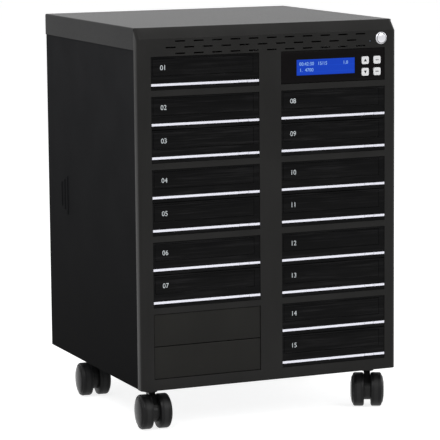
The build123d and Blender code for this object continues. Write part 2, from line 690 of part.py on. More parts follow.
def nav_key(x, z):
    """Square push key with rounded corners."""
    front = FASCIA_RECESS - NAV_PROUD
    return bevelled_bar(NAV_SIZE, NAV_CORNER, x, (front, front + NAV_LENGTH), z)


def power_button():
    """Round push button with a crowned front."""
    button = upright_prism(BUTTON_RADIUS, BUTTON_SIDES, BUTTON_PROUD - BUTTON_LENGTH, BUTTON_PROUD)
    button += upright_prism(
        BUTTON_RADIUS, BUTTON_SIDES, BUTTON_PROUD, BUTTON_PROUD + BUTTON_DOME, BUTTON_CROWN_RADIUS
    )
    return Pos(BUTTON_X, 0, BUTTON_Z) * Rot(X=90) * button


def bay_cover(row):
    """Plain cover of an unused bay: a shallow tray with its open side inward."""
    base = drive_base(row)
    front = FASCIA_RECESS
    back = front + FASCIA_DEPTH
    cover = block(around(-COLUMN_X, DRIVE_WIDTH), (front, back), (base, base + DRIVE_HEIGHT))
    cover -= block(
        around(-COLUMN_X, DRIVE_WIDTH - 2 * FASCIA_WALL),
        (front + FASCIA_WALL, back + 1),
        (base + FASCIA_WALL, base + DRIVE_HEIGHT - FASCIA_WALL),
    )
    return cover


# ---------------------------------------------------------------- rear pieces
def fan_screws():
    """Centres of the four fan screws."""
    half = FAN_SIZE / 2 - FAN_SCREW_INSET
    return [(FAN_CENTRE_X + dx, FAN_CENTRE_Z + dz) for dx in (-half, half) for dz in (-half, half)]


def fan_frame():
    """Square frame with a round duct, four struts and the boss of the bearing."""
    through = (FAN_FRONT - 1, REAR_INNER + 1)
    frame = block(around(FAN_CENTRE_X, FAN_SIZE), (FAN_FRONT, REAR_INNER), around(FAN_CENTRE_Z, FAN_SIZE))
    frame -= y_prism(FAN_BORE, FAN_SIDES, FAN_CENTRE_X, through, FAN_CENTRE_Z)
    strut_span = (REAR_INNER - FAN_STRUT_DEPTH, REAR_INNER)
    reach = 2 * FAN_BORE + FAN_STRUT
    frame += block(around(FAN_CENTRE_X, reach), strut_span, around(FAN_CENTRE_Z, FAN_STRUT))
    frame += block(around(FAN_CENTRE_X, FAN_STRUT), strut_span, around(FAN_CENTRE_Z, reach))
    frame += y_prism(FAN_HUB_RADIUS, FAN_HUB_SIDES, FAN_CENTRE_X, strut_span, FAN_CENTRE_Z)
    frame -= y_prism(FAN_SHAFT_RADIUS + FAN_SHAFT_GAP, HOLE_SIDES, FAN_CENTRE_X, through, FAN_CENTRE_Z)
    for x, z in fan_screws():
        frame -= y_prism(FAN_SCREW_RADIUS, HOLE_SIDES, x, through, z)
    return frame


def fan_rotor():
    """Hub with pitched blades and the shaft that runs in the boss."""
    hub_front = FAN_FRONT + FAN_TIP_GAP
    hub_back = hub_front + FAN_HUB_DEPTH
    shaft_flat = FAN_SHAFT_RADIUS * cos(pi / HOLE_SIDES)
    rotor = y_prism(FAN_HUB_RADIUS, FAN_HUB_SIDES, 0, (hub_front, hub_back), 0)
    rotor += y_prism(shaft_flat, HOLE_SIDES, 0, (hub_back, REAR_INNER), 0)
    middle = (hub_front + hub_back) / 2
    root = FAN_HUB_RADIUS - 2 * FAN_BLADE_WALL
    half_swing = FAN_BLADE_CHORD / 2
    tip = ((FAN_BORE - FAN_TIP_GAP) ** 2 - half_swing**2) ** 0.5
    blade = Box(FAN_BLADE_CHORD, FAN_BLADE_WALL, tip - root)
    blade = Pos(0, middle, (tip + root) / 2) * Rot(Z=FAN_BLADE_PITCH) * blade
    for index in range(FAN_BLADES):
        rotor += Rot(Y=index * 360 / FAN_BLADES) * blade
    return Pos(FAN_CENTRE_X, 0, FAN_CENTRE_Z) * rotor


def psu_housing():
    """Power supply: sheet box with a mains inlet, a switch opening and vent slots at the rear."""
    box = block(around(PSU_CENTRE_X, PSU_WIDTH), (PSU_FRONT, REAR_INNER), (PSU_BASE, PSU_BASE + PSU_HEIGHT))
    box -= block(
        around(PSU_CENTRE_X, PSU_WIDTH - 2 * PSU_SHEET),
        (PSU_FRONT - 1, REAR_INNER - PSU_SHEET),
        (PSU_BASE + PSU_SHEET, PSU_BASE + PSU_HEIGHT - PSU_SHEET),
    )
    box += block(
        around(INLET_X, INLET_WIDTH + 2 * INLET_WALL),
        (REAR_INNER - INLET_DEPTH - INLET_WALL, REAR_INNER),
        around(INLET_Z, INLET_HEIGHT + 2 * INLET_WALL),
    )
    inlet_y = (REAR_INNER - INLET_DEPTH, REAR_INNER + 1)
    box -= block(around(INLET_X, INLET_WIDTH), inlet_y, around(INLET_Z, INLET_HEIGHT))
    hole_width = ROCKER_WIDTH + 2 * ROCKER_GAP
    hole_height = ROCKER_HEIGHT + 2 * ROCKER_GAP
    box += block(
        around(INLET_X, hole_width + 2 * ROCKER_WALL),
        (REAR_INNER - ROCKER_DEPTH, REAR_INNER),
        around(ROCKER_Z, hole_height + 2 * ROCKER_WALL),
    )
    box -= block(
        around(INLET_X, hole_width),
        (REAR_INNER - ROCKER_DEPTH - 1, REAR_INNER + 1),
        around(ROCKER_Z, hole_height),
    )
    pin_radius = (ROCKER_PIN_RADIUS + ROCKER_PIN_GAP) / cos(pi / HOLE_SIDES)
    pin_bore = x_prism(pin_radius, HOLE_SIDES, hole_width / 2 + 2 * ROCKER_WALL)
    box -= Pos(INLET_X, ROCKER_AXIS_Y, ROCKER_Z) * pin_bore
    vent_end = PSU_CENTRE_X + PSU_WIDTH / 2 - SUPPLY_VENT_INSET
    wall = (REAR_INNER - PSU_SHEET - 1, REAR_INNER + 1)
    for index in range(SUPPLY_VENT_SLOTS):
        z = PSU_MIDDLE_Z + (index - (SUPPLY_VENT_SLOTS - 1) / 2) * SUPPLY_VENT_PITCH
        box -= block((vent_end - SUPPLY_VENT_LENGTH, vent_end), wall, around(z, SUPPLY_VENT_HEIGHT))
    return box


def psu_rocker():
    """Rocker of the mains switch on its cross pin, tilted to one side."""
    face = ROCKER_DEPTH / 2
    half = ROCKER_HEIGHT / 2
    fall = half * tan(radians(ROCKER_TILT))
    outline = Polyline(
        (face, 0),
        (face - fall, half - ROCKER_END / 2),
        (-ROCKER_ROOT, half - 2 * ROCKER_END),
        (-ROCKER_ROOT, -half + 2 * ROCKER_END),
        (face - fall, -half + ROCKER_END / 2),
        close=True,
    )
    rocker = extrude(Plane.YZ * make_face(outline), ROCKER_WIDTH / 2, both=True)
    rocker += x_prism(ROCKER_PIN_RADIUS, HOLE_SIDES, ROCKER_WIDTH / 2 + ROCKER_GAP + ROCKER_PIN_RADIUS)
    return Pos(INLET_X, ROCKER_AXIS_Y, ROCKER_Z) * Rot(X=ROCKER_TILT) * rocker


# ---------------------------------------------------------------- casters
def placed_caster(name, shape):
    """Turns a caster piece to its rest angle and sets it under its stem socket."""
    x, y = CASTER_PLACES[name]
    return Pos(x, y, 0) * Rot(Z=CASTER_ANGLES[name]) * shape


def caster_fork(name):
    """Plate between the wheels that rises into the neck, collar and stem."""
    plate_top = COLLAR_BASE - NECK_RADIUS / 2
    outline = make_hull(
        [
            *(Pos(-CASTER_TRAIL, WHEEL_RADIUS) * RegularPolygon(FORK_ROUND, WHEEL_SIDES)).edges(),
            *(Pos(0, plate_top) * RegularPolygon(NECK_RADIUS, ROD_SIDES)).edges(),
        ]
    )
    fork = extrude(Plane.YZ * outline, WHEEL_SPACE / 2 - FORK_GAP, both=True)
    fork += upright_prism(COLLAR_RADIUS, ROD_SIDES, COLLAR_BASE, COLLAR_BASE + COLLAR_HEIGHT)
    fork += upright_prism(NECK_RADIUS, ROD_SIDES, COLLAR_BASE, CASTER_SEAT)
    fork += upright_prism(STEM_RADIUS, ROD_SIDES, CASTER_SEAT, CASTER_SEAT + STEM_LENGTH)
    bore_radius = (AXLE_RADIUS + AXLE_GAP) / cos(pi / ROD_SIDES)
    fork -= Pos(0, -CASTER_TRAIL, WHEEL_RADIUS) * x_prism(bore_radius, ROD_SIDES, WHEEL_WIDTH)
    return placed_caster(name, fork)


def caster_wheels(name):
    """Two domed wheels on one axle."""
    inner = WHEEL_SPACE / 2
    tread_end = inner + WHEEL_TREAD
    shoulder_end = tread_end + WHEEL_SHOULDER
    outer = inner + WHEEL_WIDTH
    shoulder_radius = WHEEL_RADIUS - WHEEL_SHOULDER_DROP
    wheel = upright_prism(WHEEL_RADIUS, WHEEL_SIDES, inner, tread_end)
    wheel += upright_prism(WHEEL_RADIUS, WHEEL_SIDES, tread_end, shoulder_end, shoulder_radius)
    wheel += upright_prism(shoulder_radius, WHEEL_SIDES, shoulder_end, outer, WHEEL_CAP_RADIUS)
    axle = upright_prism(AXLE_RADIUS, ROD_SIDES, -inner, inner)
    pair = Rot(Y=90) * (wheel + mirror(wheel, Plane.XY) + axle)
    return placed_caster(name, Pos(0, -CASTER_TRAIL, WHEEL_RADIUS) * pair)


# ---------------------------------------------------------------- assembly
def assemble():
    """Every piece by the name of its node."""
    drives = drive_places()
    nodes = {
        "front_bezel": front_bezel(),
        "top_cover": top_cover(),
        "side_panels": [side_panel(-1), side_panel(1)],
        "rear_panel": rear_panel(),
        "base_pan": base_pan(),
        "drive_cage": [cage_column(-COLUMN_X), cage_column(COLUMN_X)],
        "bay_covers": [bay_cover(row) for row in BLANK_ROWS],
        "control_fascia": control_fascia(),
        "display_module": display_module(),
        "controller_board": controller_board(),
        "drive_housings": [Pos(x, 0, z) * drive_housing() for x, z in drives],
        "drive_bezels": [Pos(x, 0, z) * drive_bezel() for x, z in drives],
        "drive_trim_strips": [Pos(x, 0, z) * length for x, z in drives for length in drive_strip()],
        "power_button": power_button(),
        "fan_frame": fan_frame(),
        "fan_rotor": fan_rotor(),
        "psu_housing": psu_housing(),
        "psu_rocker": psu_rocker(),
    }
    for number, (x, z) in enumerate(drives, start=1):
        nodes[f"disc_tray_{number:02d}"] = Pos(x, 0, z) * disc_tray()
        nodes[f"eject_key_{number:02d}"] = Pos(x, 0, z) * eject_key()
    for name, (x, z) in nav_places().items():
        nodes[name] = nav_key(x, z)
    for name in CASTER_PLACES:
        nodes[f"caster_fork_{name}"] = caster_fork(name)
        nodes[f"caster_wheels_{name}"] = caster_wheels(name)
    return nodes


def solids_of(shape):
    """All solids of a piece or of a list of pieces."""
    pieces = shape if isinstance(shape, list) else [shape]
    return [solid for piece in pieces for solid in piece.solids()]


def frame_origin(nodes):
    """The point on the floor under the middle of the whole tower."""
    boxes = [solid.bounding_box() for shape in nodes.values() for solid in solids_of(shape)]
    middle_x = (min(box.min.X for box in boxes) + max(box.max.X for box in boxes)) / 2
    middle_y = (min(box.min.Y for box in boxes) + max(box.max.Y for box in boxes)) / 2
    return middle_x, middle_y


NODES = assemble()
ORIGIN_X, ORIGIN_Y = frame_origin(NODES)

os.makedirs("parts", exist_ok=True)
for node, shape in NODES.items():
    group = Compound(children=[Pos(-ORIGIN_X, -ORIGIN_Y, 0) * solid for solid in solids_of(shape)])
    export_step(group, f"parts/{node}.step")
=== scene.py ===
import json
import logging
import math
from dataclasses import dataclass, field
from enum import Enum
from typing import ClassVar

import bmesh
import bpy
from mathutils import Matrix, Vector

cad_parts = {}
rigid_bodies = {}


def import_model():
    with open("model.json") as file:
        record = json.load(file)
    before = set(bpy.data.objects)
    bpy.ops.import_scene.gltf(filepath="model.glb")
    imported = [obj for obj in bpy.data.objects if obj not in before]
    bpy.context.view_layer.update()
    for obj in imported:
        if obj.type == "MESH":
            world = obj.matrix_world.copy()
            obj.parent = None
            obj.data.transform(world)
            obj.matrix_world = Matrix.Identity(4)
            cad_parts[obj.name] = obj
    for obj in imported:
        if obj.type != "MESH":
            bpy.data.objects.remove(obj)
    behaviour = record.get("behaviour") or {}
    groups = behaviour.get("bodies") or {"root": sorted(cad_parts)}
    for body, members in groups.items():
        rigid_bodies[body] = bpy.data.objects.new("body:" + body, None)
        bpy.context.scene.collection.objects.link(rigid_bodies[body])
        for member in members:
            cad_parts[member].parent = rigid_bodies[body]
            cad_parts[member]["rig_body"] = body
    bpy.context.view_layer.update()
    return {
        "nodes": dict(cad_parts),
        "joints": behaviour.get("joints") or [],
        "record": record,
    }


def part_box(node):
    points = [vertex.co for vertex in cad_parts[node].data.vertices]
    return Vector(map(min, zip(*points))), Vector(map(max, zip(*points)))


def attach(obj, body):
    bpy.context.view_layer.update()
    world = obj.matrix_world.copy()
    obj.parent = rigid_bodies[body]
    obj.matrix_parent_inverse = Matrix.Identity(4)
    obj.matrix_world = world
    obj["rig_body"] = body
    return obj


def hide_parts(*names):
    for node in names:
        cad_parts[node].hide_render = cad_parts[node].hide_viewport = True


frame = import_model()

LOG = logging.getLogger("duplicator_tower")
MM = 0.001
DRIVES = 15
DOOR_LEFT = 2.8 * MM                # from a drive's left edge to its tray's door
DOOR_DROP = 2.5 * MM                # from a drive's upper edge to its tray's door
FIGURE_SHARE = 0.69                 # height of a figure, as a share of the font's size
FIGURE_STEPS = 3                    # steps in each curve of a figure
SAME_POINT = 1e-7                   # points closer than this are one, in metres
BEVEL_WEIGHT = "bevel_weight_edge"
BEVEL_STEPS = 3
BEVEL_FROM = math.radians(35)       # edges sharper than this are rounded
CREASE_FROM = math.radians(38)      # edges sharper than this stay sharp in the shading
UPRIGHT = Matrix.Rotation(math.pi / 2, 4, "X")

Pair = tuple[float, float]
Triple = tuple[float, float, float]
Colour = Triple
Socket = bpy.types.NodeSocket


# ---------------------------------------------------------------- node trees
class Graph:
    """A material's node tree, with one short call for each kind of node that the finishes use."""

    def __init__(self, name: str) -> None:
        """Starts a material with a Principled shader wired to its output.

        Args:
            name: the material's name.
        """
        self.material = bpy.data.materials.new(name)
        self.material.use_nodes = True
        self.tree = self.material.node_tree
        self.tree.nodes.clear()
        self.shader = self.add("ShaderNodeBsdfPrincipled")
        output = self.add("ShaderNodeOutputMaterial")
        self.link(self.shader.outputs["BSDF"], output.inputs["Surface"])
        self.place = self.add("ShaderNodeTexCoord").outputs["Object"]

    def add(self, kind: str, **settings: object) -> bpy.types.Node:
        """Adds a node.

        Args:
            kind: the node's type name.
            settings: properties of the node.

        Returns:
            The new node.
        """
        node = self.tree.nodes.new(kind)
        for key, value in settings.items():
            setattr(node, key, value)
        return node

    def link(self, source: Socket, target: Socket) -> None:
        """Wires one socket to another."""
        self.tree.links.new(source, target)

    def constants(self, **values: float | tuple[float, ...]) -> None:
        """Sets plain values on the shader's own sockets.

        Args:
            values: socket names in snake case, with their values.
        """
        for key, value in values.items():
            name = "Specular IOR Level" if key == "ior_level" else key.replace("_", " ").title()
            self.shader.inputs[name].default_value = (*value, 1.0) if isinstance(value, tuple) else value

    def mapped(
        self,
        centre: Vector | Triple = (0, 0, 0),
        turn: Vector | Triple = (0, 0, 0),
        size: Vector | Triple = (1, 1, 1),
    ) -> Socket:
        """Object coordinates about a centre, in axes that are turned and measured in given units.

        Args:
            centre: where the pattern's own origin lies, in metres.
            turn: the pattern's Euler angles, in radians.
            size: length of the pattern's unit along each of its axes, in metres.

        Returns:
            The mapped coordinate.
        """
        mapping = self.add("ShaderNodeMapping", vector_type="TEXTURE")
        mapping.inputs["Location"].default_value = tuple(centre)
        mapping.inputs["Rotation"].default_value = tuple(turn)
        mapping.inputs["Scale"].default_value = tuple(size)
        self.link(self.place, mapping.inputs["Vector"])
        return mapping.outputs["Vector"]

    def axis(self, name: str) -> Socket:
        """One coordinate of the object's own place, in metres.

        Args:
            name: X, Y or Z.

        Returns:
            The coordinate.
        """
        parts = self.add("ShaderNodeSeparateXYZ")
        self.link(self.place, parts.inputs["Vector"])
        return parts.outputs[name]

    def noise(self, where: Socket, scale: float = 1.0, detail: float = 2.0, rough: float = 0.5) -> Socket:
        """Value of a noise texture.

        Args:
            where: the coordinate that it reads.
            scale: cells per unit of that coordinate.
            detail: octaves.
            rough: weight of the finer octaves.

        Returns:
            The factor, about 0 to 1.
        """
        texture = self.add("ShaderNodeTexNoise")
        texture.inputs["Scale"].default_value = scale
        texture.inputs["Detail"].default_value = detail
        texture.inputs["Roughness"].default_value = rough
        self.link(where, texture.inputs["Vector"])
        return texture.outputs["Fac"]

    def between(
        self, factor: Socket, low: float, high: float, start: float = 0.0, end: float = 1.0
    ) -> Socket:
        """Maps a factor linearly, and holds it at its ends.

        Args:
            factor: the value to map.
            low: result at the start.
            high: result at the end.
            start: where the factor begins.
            end: where the factor ends.

        Returns:
            The mapped value.
        """
        ramp = self.add("ShaderNodeMapRange", clamp=True)
        for name, value in (("From Min", start), ("From Max", end), ("To Min", low), ("To Max", high)):
            ramp.inputs[name].default_value = value
        self.link(factor, ramp.inputs["Value"])
        return ramp.outputs["Result"]

    def blend(self, factor: Socket, first: Colour | Socket, second: Colour | Socket) -> Socket:
        """Mixes two colours.

        Args:
            factor: 0 for the first, 1 for the second.
            first: colour or socket.
            second: colour or socket.

        Returns:
            The mixed colour.
        """
        mix = self.add("ShaderNodeMix", data_type="RGBA")
        self.link(factor, mix.inputs["Factor"])
        for key, value in (("A", first), ("B", second)):
            target = next(port for port in mix.inputs if port.name == key and port.type == "RGBA")
            if isinstance(value, bpy.types.NodeSocket):
                self.link(value, target)
            else:
                target.default_value = (*value, 1.0)
        return next(port for port in mix.outputs if port.type == "RGBA")

    def math(self, operation: str, first: Socket | float, second: Socket | float = 0.0) -> Socket:
        """One step of arithmetic.

        Args:
            operation: the Math node's operation.
            first: value or socket.
            second: value or socket.

        Returns:
            The result.
        """
        step = self.add("ShaderNodeMath", operation=operation)
        for index, value in enumerate((first, second)):
            if isinstance(value, bpy.types.NodeSocket):
                self.link(value, step.inputs[index])
            else:
                step.inputs[index].default_value = value
        return step.outputs["Value"]

    def colour(self, value: Socket) -> None:
        """Wires a colour to the shader."""
        self.link(value, self.shader.inputs["Base Color"])

    def roughness(self, value: Socket) -> None:
        """Wires a roughness to the shader."""
        self.link(value, self.shader.inputs["Roughness"])

    def relief(self, height: Socket, depth: float, strength: float = 1.0) -> None:
        """Raises a pattern as a bump.

        Args:
            height: pattern from 0 to 1.
            depth: height of the pattern in metres.
            strength: share of the bump that is used.
        """
        bump = self.add("ShaderNodeBump")
        bump.inputs["Strength"].default_value = strength
        bump.inputs["Distance"].default_value = depth
        self.link(height, bump.inputs["Height"])
        self.link(bump.outputs["Normal"], self.shader.inputs["Normal"])


# ---------------------------------------------------------------- finishes
@dataclass(frozen=True)
class PowderCoat:
    """Fine textured paint on sheet steel, with a slight cloudiness and a painted shade that darkens it
    towards the floor.
    """

    colour: Colour
    cloud: Colour
    roughness: float = 0.45
    gloss: float = 0.5
    grain: float = 0.9 * MM
    depth: float = 0.05 * MM
    # foot: share of the colour left at foot_height, a painted shade that darkens the coat towards the floor
    foot: float = 1.0
    foot_height: float = 50 * MM
    head_height: float = 480 * MM
    cloud_size: float = 60 * MM

    def material(self, name: str) -> bpy.types.Material:
        """Builds the paint; at foot_height its colour is multiplied by foot, at head_height it is full; this
        darkening towards the floor is painted shade.

        Args:
            name: the material's name.

        Returns:
            The material.
        """
        graph = Graph(name)
        graph.constants(ior_level=self.gloss)
        cloud = graph.noise(graph.mapped(size=(self.cloud_size,) * 3), detail=4.0)
        coat = graph.blend(graph.between(cloud, 0, 1, 0.3, 0.7), self.colour, self.cloud)
        # painted shade: the coat's colour darkened towards the floor, blended in by height
        painted_shade_colour = tuple(self.foot * part for part in self.colour)
        height = graph.between(graph.axis("Z"), 0, 1, self.foot_height, self.head_height)
        graph.colour(graph.blend(height, painted_shade_colour, coat))
        grain = graph.noise(graph.mapped(size=(self.grain,) * 3), detail=3.0, rough=0.6)
        graph.roughness(graph.between(grain, self.roughness - 0.06, self.roughness + 0.08, 0.3, 0.7))
        graph.relief(grain, self.depth, 0.6)
        return graph.material


@dataclass(frozen=True)
class MouldedPlastic:
    """Moulded plastic with a spark-eroded grain."""

    colour: Colour
    roughness: float = 0.4
    gloss: float = 0.5
    grain: float = 0.6 * MM
    depth: float = 0.03 * MM
    drift: float = 0.25
    coat: float = 0.0
    coat_roughness: float = 0.16
    flow_size: Triple = (45 * MM, 45 * MM, 90 * MM)

    def material(self, name: str) -> bpy.types.Material:
        """Builds the plastic.

        Args:
            name: the material's name.

        Returns:
            The material.
        """
        graph = Graph(name)
        graph.constants(ior_level=self.gloss, coat_weight=self.coat, coat_roughness=self.coat_roughness)
        pale = tuple(min(1.0, part * (1 + self.drift)) for part in self.colour)
        flow = graph.noise(graph.mapped(size=self.flow_size), detail=3.0)
        graph.colour(graph.blend(graph.between(flow, 0, 1, 0.35, 0.65), self.colour, pale))
        grain = graph.noise(graph.mapped(size=(self.grain,) * 3), detail=2.0)
        graph.roughness(graph.between(grain, self.roughness - 0.04, self.roughness + 0.06, 0.3, 0.7))
        graph.relief(grain, self.depth, 0.5)
        return graph.material


@dataclass(frozen=True)
class PlatedMetal:
    """Plated or brushed metal: bright, with a directional or cloudy sheen."""

    colour: Colour
    metallic: float = 1.0
    roughness: float = 0.3
    grain: Triple = (30 * MM, 30 * MM, 0.4 * MM)
    drift: float = 0.12
    depth: float = 0.01 * MM

    def material(self, name: str) -> bpy.types.Material:
        """Builds the metal.

        Args:
            name: the material's name.

        Returns:
            The material.
        """
        graph = Graph(name)
        graph.constants(metallic=self.metallic)
        dull = tuple(part * (1 - self.drift) for part in self.colour)
        grain = graph.noise(graph.mapped(size=self.grain), detail=4.0, rough=0.65)
        graph.colour(graph.blend(graph.between(grain, 0, 1, 0.3, 0.7), dull, self.colour))
        graph.roughness(graph.between(grain, self.roughness - 0.05, self.roughness + 0.12, 0.3, 0.7))
        graph.relief(grain, self.depth, 0.35)
        return graph.material


# ---------------------------------------------------------------- mesh building
def put(name: str, data: bpy.types.ID) -> bpy.types.Object:
    """Makes an object and puts it in the scene.

    Args:
        name: the object's name.
        data: its mesh, curve, lamp or camera.

    Returns:
        The object.
    """
    thing = bpy.data.objects.new(name, data)
    bpy.context.scene.collection.objects.link(thing)
    return thing


def soften(thing: bpy.types.Object, crease: float) -> None:
    """Shades an object smooth, but for its sharp edges.

    Args:
        thing: the object.
        crease: angle from which an edge stays sharp, in radians.
    """
    for polygon in thing.data.polygons:
        polygon.use_smooth = True
    thing.data.set_sharp_from_angle(angle=crease)


def flatten(thing: bpy.types.Object) -> None:
    """Puts an object's modifiers into its mesh and removes them.

    Args:
        thing: the object, whose modifiers are live.
    """
    bpy.context.view_layer.update()
    graph = bpy.context.evaluated_depsgraph_get()
    done = bpy.data.meshes.new_from_object(thing.evaluated_get(graph))
    thing.modifiers.clear()
    old, thing.data = thing.data, done
    bpy.data.meshes.remove(old)
    done.name = thing.name


class Solid:
    """Collects the faces of one piece, in metres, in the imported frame."""

    def __init__(self) -> None:
        """Starts an empty piece."""
        self.bm = bmesh.new()

    def take(self, mesh: bpy.types.Mesh, place: Matrix) -> None:
        """Adds a mesh and removes it from the file.

        Args:
            mesh: the mesh to add.
            place: its placement.
        """
        mesh.transform(place)
        self.bm.from_mesh(mesh)
        bpy.data.meshes.remove(mesh)

    def bar(self, low: Vector, high: Vector) -> None:
        """Adds a bar between two corners.

        Args:
            low: lowest corner.
            high: highest corner.
        """
        size, middle = high - low, (high + low) / 2
        for vertex in bmesh.ops.create_cube(self.bm, size=1.0)["verts"]:
            vertex.co = Vector(a * b for a, b in zip(vertex.co, size)) + middle

    def prism(self, outline: list[Vector], depth: Vector) -> None:
        """Adds a flat outline drawn out along a direction.

        Args:
            outline: corners in order.
            depth: how far, and which way, the outline is drawn out.
        """
        near = [self.bm.verts.new(point) for point in outline]
        far = [self.bm.verts.new(point + depth) for point in outline]
        self.bm.faces.new(near)
        self.bm.faces.new(list(reversed(far)))
        for index in range(len(outline)):
            after = (index + 1) % len(outline)
            self.bm.faces.new((near[after], near[index], far[index], far[after]))

    def lathe(
        self, profile: list[Pair], place: Matrix, steps: int = 64, finishes: tuple[int, ...] = ()
    ) -> None:
        """Adds a turned form: the profile goes once round the local Z axis.

        Args:
            profile: radius and height of each point; a radius of zero closes the form.
            place: where the form's own origin and axis lie.
            steps: faces round the axis.
            finishes: material index of each stretch between two points; all 0 if left out.
        """
        rings = []
        for radius, height in profile:
            count = steps if radius > 0 else 1
            angles = [2 * math.pi * index / count for index in range(count)]
            points = [Vector((radius * math.cos(a), radius * math.sin(a), height)) for a in angles]
            rings.append([self.bm.verts.new(place @ point) for point in points])
        for band, (lower, upper) in enumerate(zip(rings, rings[1:])):
            for index in range(steps):
                after = (index + 1) % steps
                loop = ((lower, index), (lower, after), (upper, after), (upper, index))
                corners = list(dict.fromkeys(ring[step % len(ring)] for ring, step in loop))
                if len(corners) > 2:
                    face = self.bm.faces.new(corners)
                    face.material_index = finishes[band] if finishes else 0

    def mesh(self, name: str) -> bpy.types.Mesh:
        """Ends the collecting.

        Args:
            name: the mesh's name.

        Returns:
            The faces as a mesh, turned outward.
        """
        bmesh.ops.recalc_face_normals(self.bm, faces=self.bm.faces)
        mesh = bpy.data.meshes.new(name)
        self.bm.to_mesh(mesh)
        self.bm.free()
        return mesh

    def piece(
        self,
        name: str,
        body: str,
        materials: list[bpy.types.Material],
        replaces: tuple[str, ...] = (),
        bevel: float = 0.0,
    ) -> None:
        """Turns the faces into an object that rides on a body.

        Args:
            name: the piece's name.
            body: the body that it rides on.
            materials: its finishes, in the order of the indices used.
            replaces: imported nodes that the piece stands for.
            bevel: width of the rounded edges, in metres.
        """
        bmesh.ops.remove_doubles(self.bm, verts=self.bm.verts, dist=SAME_POINT)
        thing = put(name, self.mesh(name))
        if bevel:
            rounding = thing.modifiers.new("rounding", "BEVEL")
            rounding.width, rounding.segments = bevel, BEVEL_STEPS
            rounding.limit_method = "WEIGHT" if BEVEL_WEIGHT in thing.data.attributes else "ANGLE"
            rounding.angle_limit = BEVEL_FROM
            flatten(thing)
        for material in materials:
            thing.data.materials.append(material)
        soften(thing, CREASE_FROM)
        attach(thing, body)
        if replaces:
            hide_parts(*replaces)
        LOG.info("%s rides on %s", name, body)


def lettering(text: str, height: float, thickness: float) -> bpy.types.Mesh:
    """Makes figures as a mesh that lies on the XY plane, from its own lower left corner.

    Args:
        text: figures and marks.
        height: height of a figure, in metres.
        thickness: how far it stands out, in metres.

    Returns:
        The mesh.
    """
    curve = bpy.data.curves.new("figures", "FONT")
    curve.body = text
    curve.size = height / FIGURE_SHARE
    curve.extrude = thickness / 2
    curve.resolution_u = FIGURE_STEPS
    holder = put("figures", curve)
    bpy.context.view_layer.update()
    graph = bpy.context.evaluated_depsgraph_get()
    mesh = bpy.data.meshes.new_from_object(holder.evaluated_get(graph))
    bpy.data.objects.remove(holder)
    bpy.data.curves.remove(curve)
    return mesh


def facing_front(x: float, y: float, z: float) -> Matrix:
    """Placement of a flat drawing that stands up and faces the front."""
    return Matrix.Translation((x, y, z)) @ UPRIGHT


# ---------------------------------------------------------------- repeats
class Scatter:
    """A node tree that sets one part on each point of a mesh and gives the result its finish."""

    INPUTS: ClassVar[tuple[tuple[str, str], ...]] = (
        ("Points", "Geometry"),
        ("Part", "Object"),
        ("Size", "Float"),
        ("Turn Spread", "Float"),
        ("Finish", "Material"),
    )
    SEED: ClassVar[int] = 7
    CREASE: ClassVar[float] = math.radians(30)

    def __init__(self, name: str) -> None:
        """Builds the tree.

        Args:
            name: the tree's name.
        """
        tree = bpy.data.node_groups.new(name, "GeometryNodeTree")
        for title, kind in self.INPUTS:
            tree.interface.new_socket(title, in_out="INPUT", socket_type=f"NodeSocket{kind}")
        tree.interface.new_socket("Result", in_out="OUTPUT", socket_type="NodeSocketGeometry")
        nodes, links = tree.nodes, tree.links
        source, sink = nodes.new("NodeGroupInput"), nodes.new("NodeGroupOutput")
        part = nodes.new("GeometryNodeObjectInfo")
        spin = nodes.new("FunctionNodeRandomValue")
        spin.data_type = "FLOAT"
        spin.inputs["Seed"].default_value = self.SEED
        turn = nodes.new("ShaderNodeCombineXYZ")
        place = nodes.new("GeometryNodeInstanceOnPoints")
        real = nodes.new("GeometryNodeRealizeInstances")
        paint = nodes.new("GeometryNodeSetMaterial")
        most = [socket for socket in spin.inputs if socket.type == "VALUE"][1]
        drawn = next(socket for socket in spin.outputs if socket.type == "VALUE")
        links.new(source.outputs["Part"], part.inputs["Object"])
        links.new(source.outputs["Points"], place.inputs["Points"])
        links.new(part.outputs["Geometry"], place.inputs["Instance"])
        links.new(source.outputs["Size"], place.inputs["Scale"])
        links.new(source.outputs["Turn Spread"], most)
        links.new(drawn, turn.inputs["Y"])
        links.new(turn.outputs["Vector"], place.inputs["Rotation"])
        links.new(place.outputs["Instances"], real.inputs["Geometry"])
        links.new(real.outputs["Geometry"], paint.inputs["Geometry"])
        links.new(source.outputs["Finish"], paint.inputs["Material"])
        links.new(paint.outputs["Geometry"], sink.inputs["Result"])
        self.tree = tree

    def make(
        self,
        name: str,
        points: list[Vector],
        part: Solid,
        material: bpy.types.Material,
        body: str,
        turn_spread: float = 0.0,
    ) -> None:
        """Sets copies of a part on points, as one mesh.

        Args:
            name: the piece's name.
            points: where the copies go.
            part: the shape that is copied.
            material: its finish.
            body: the body that the piece rides on.
            turn_spread: most that a copy is turned about Y, in radians.
        """
        template = put("part", part.mesh("part"))
        mesh = bpy.data.meshes.new(name)
        mesh.from_pydata(points, [], [])
        thing = put(name, mesh)
        modifier = thing.modifiers.new("scatter", "NODES")
        modifier.node_group = self.tree
        values = {"Part": template, "Size": 1.0, "Turn Spread": turn_spread, "Finish": material}
        for socket in self.tree.interface.items_tree:
            if socket.in_out == "INPUT" and socket.name in values:
                modifier[socket.identifier] = values[socket.name]
        flatten(thing)
        bpy.data.objects.remove(template)
        soften(thing, self.CREASE)
        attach(thing, body)
        LOG.info("%s: %d copies on %s", name, len(points), body)


